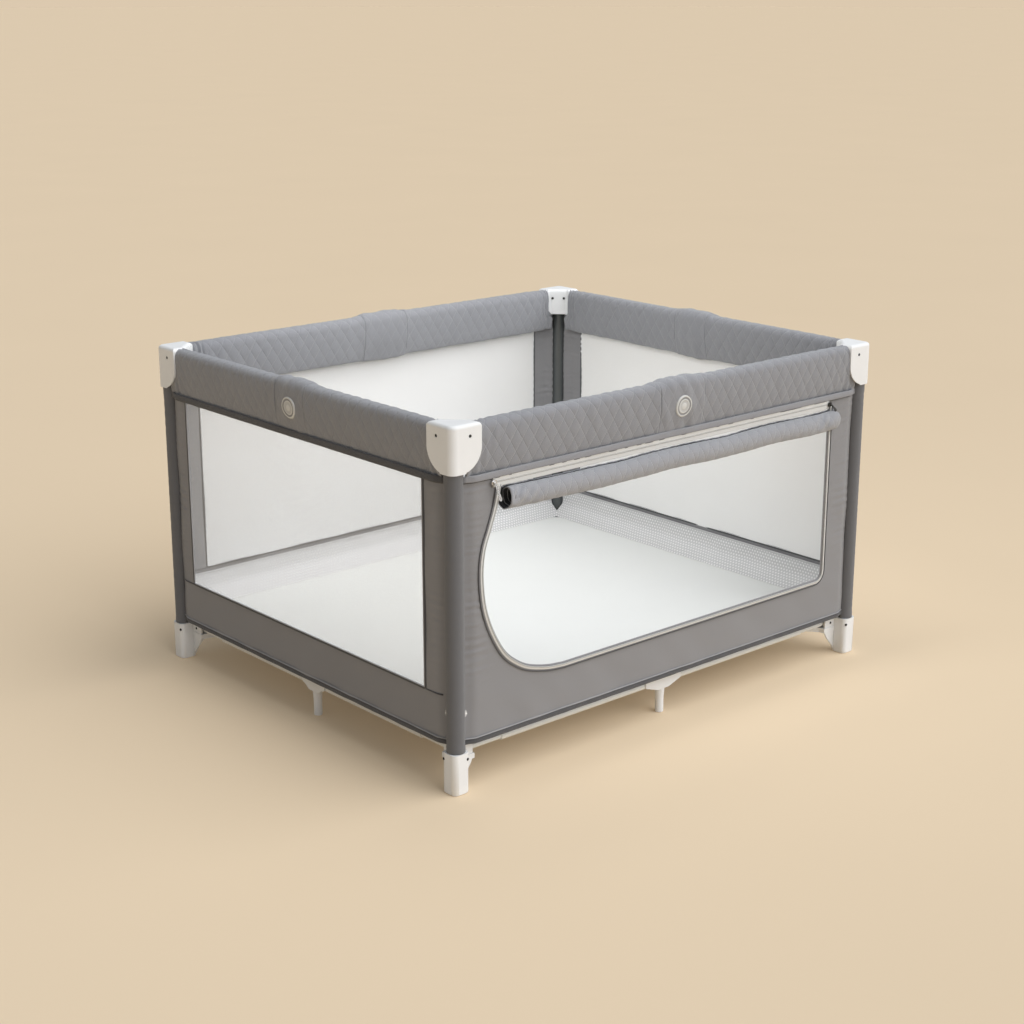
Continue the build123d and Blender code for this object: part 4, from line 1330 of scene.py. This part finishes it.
# ---- floor and light
FLOOR_REACH = 250.0
FLOOR_TONE = (0.72, 0.580, 0.410)
FLOOR_GLOW = 0.10
RIM_SIDES = 64
RIM_RADIUS = 90.0
RIM_HEIGHT = 5.0
RIM_TONE = (0.716, 0.584, 0.429)
WORLD_STRENGTH = 0.30
WORLD_TONE = (0.95, 0.985, 1.03)
KEY_STRENGTH = 2.48
KEY_TONE = (0.985, 0.995, 1.02)
FILL_STRENGTH = 0.45
FILL_TONE = (0.90, 0.98, 1.10)


def add_stage():
    """Paper floor, and a low rim of the same tone far out, so that the floor fills the view."""
    n = Nodes("floor_paper")
    floor_paper = n.done(
        Base_Color=n.mix(n.noise(n.place(), 1.3), shade(FLOOR_TONE, 0.985), shade(FLOOR_TONE, 1.015)),
        Emission_Color=FLOOR_TONE,
        Emission_Strength=FLOOR_GLOW,
        Roughness=0.95,
        Specular_IOR_Level=0.0,
    )
    points = [(x, y, 0.0) for x in (-FLOOR_REACH, FLOOR_REACH) for y in (-FLOOR_REACH, FLOOR_REACH)]
    mesh_object("studio_floor", points, [(0, 2, 3, 1)], [floor_paper])
    turn = full_turn(RIM_SIDES)
    circle = np.stack([np.cos(turn), np.sin(turn), 0 * turn], axis=1) * RIM_RADIUS
    points = np.vstack([circle, circle + (0, 0, RIM_HEIGHT)])
    rim_paper = Nodes("rim_paper").done(
        Base_Color=(0.0, 0.0, 0.0),
        Emission_Color=RIM_TONE,
        Emission_Strength=1.0,
        Roughness=1.0,
        Specular_IOR_Level=0.0,
    )
    rim = mesh_object("studio_rim", points, grid_faces(2, RIM_SIDES, wrap_columns=True), [rim_paper])
    rim.visible_shadow = False
    rim.visible_diffuse = False


def add_light(name, kind, towards, **settings):
    """A light that shines from where towards points."""
    data = bpy.data.lights.new(name, kind)
    for key, value in settings.items():
        setattr(data, key, value)
    light = new_object(name, data)
    light.rotation_euler = Vector(towards).to_track_quat("Z", "Y").to_euler()
    return light


def add_sun(name, direction, strength, spread, tone):
    """Soft parallel light; direction points from the pen to the light."""
    add_light(name, "SUN", direction, energy=strength, angle=math.radians(spread), color=tone)


def add_panel(name, place, target, size, power):
    """Soft square light over the pen, itself out of sight."""
    back = Vector(place) - Vector(target)
    light = add_light(name, "AREA", back, size=size, energy=power, spread=math.radians(110))
    light.location = place
    light.visible_camera = False


def add_world():
    world = bpy.data.worlds.new("studio")
    world.use_nodes = True
    background = world.node_tree.nodes["Background"]
    background.inputs["Color"].default_value = (*WORLD_TONE, 1)
    background.inputs["Strength"].default_value = WORLD_STRENGTH
    bpy.context.scene.world = world


add_stage()
add_world()
add_sun("key", (0.40, -0.62, 0.80), KEY_STRENGTH, 70.0, KEY_TONE)
add_sun("front_fill", (-0.05, -0.95, 0.30), FILL_STRENGTH, 60.0, FILL_TONE)
add_panel("inside_fill", (-0.42, 0.05, 1.25), (0.60, -0.05, 0.35), 0.7, 2.5)
add_panel("overhead", (0.05, 0.0, 2.3), (0.05, 0.0, 0.0), 0.9, 3.0)
bpy.context.scene.view_settings.view_transform = "Standard"
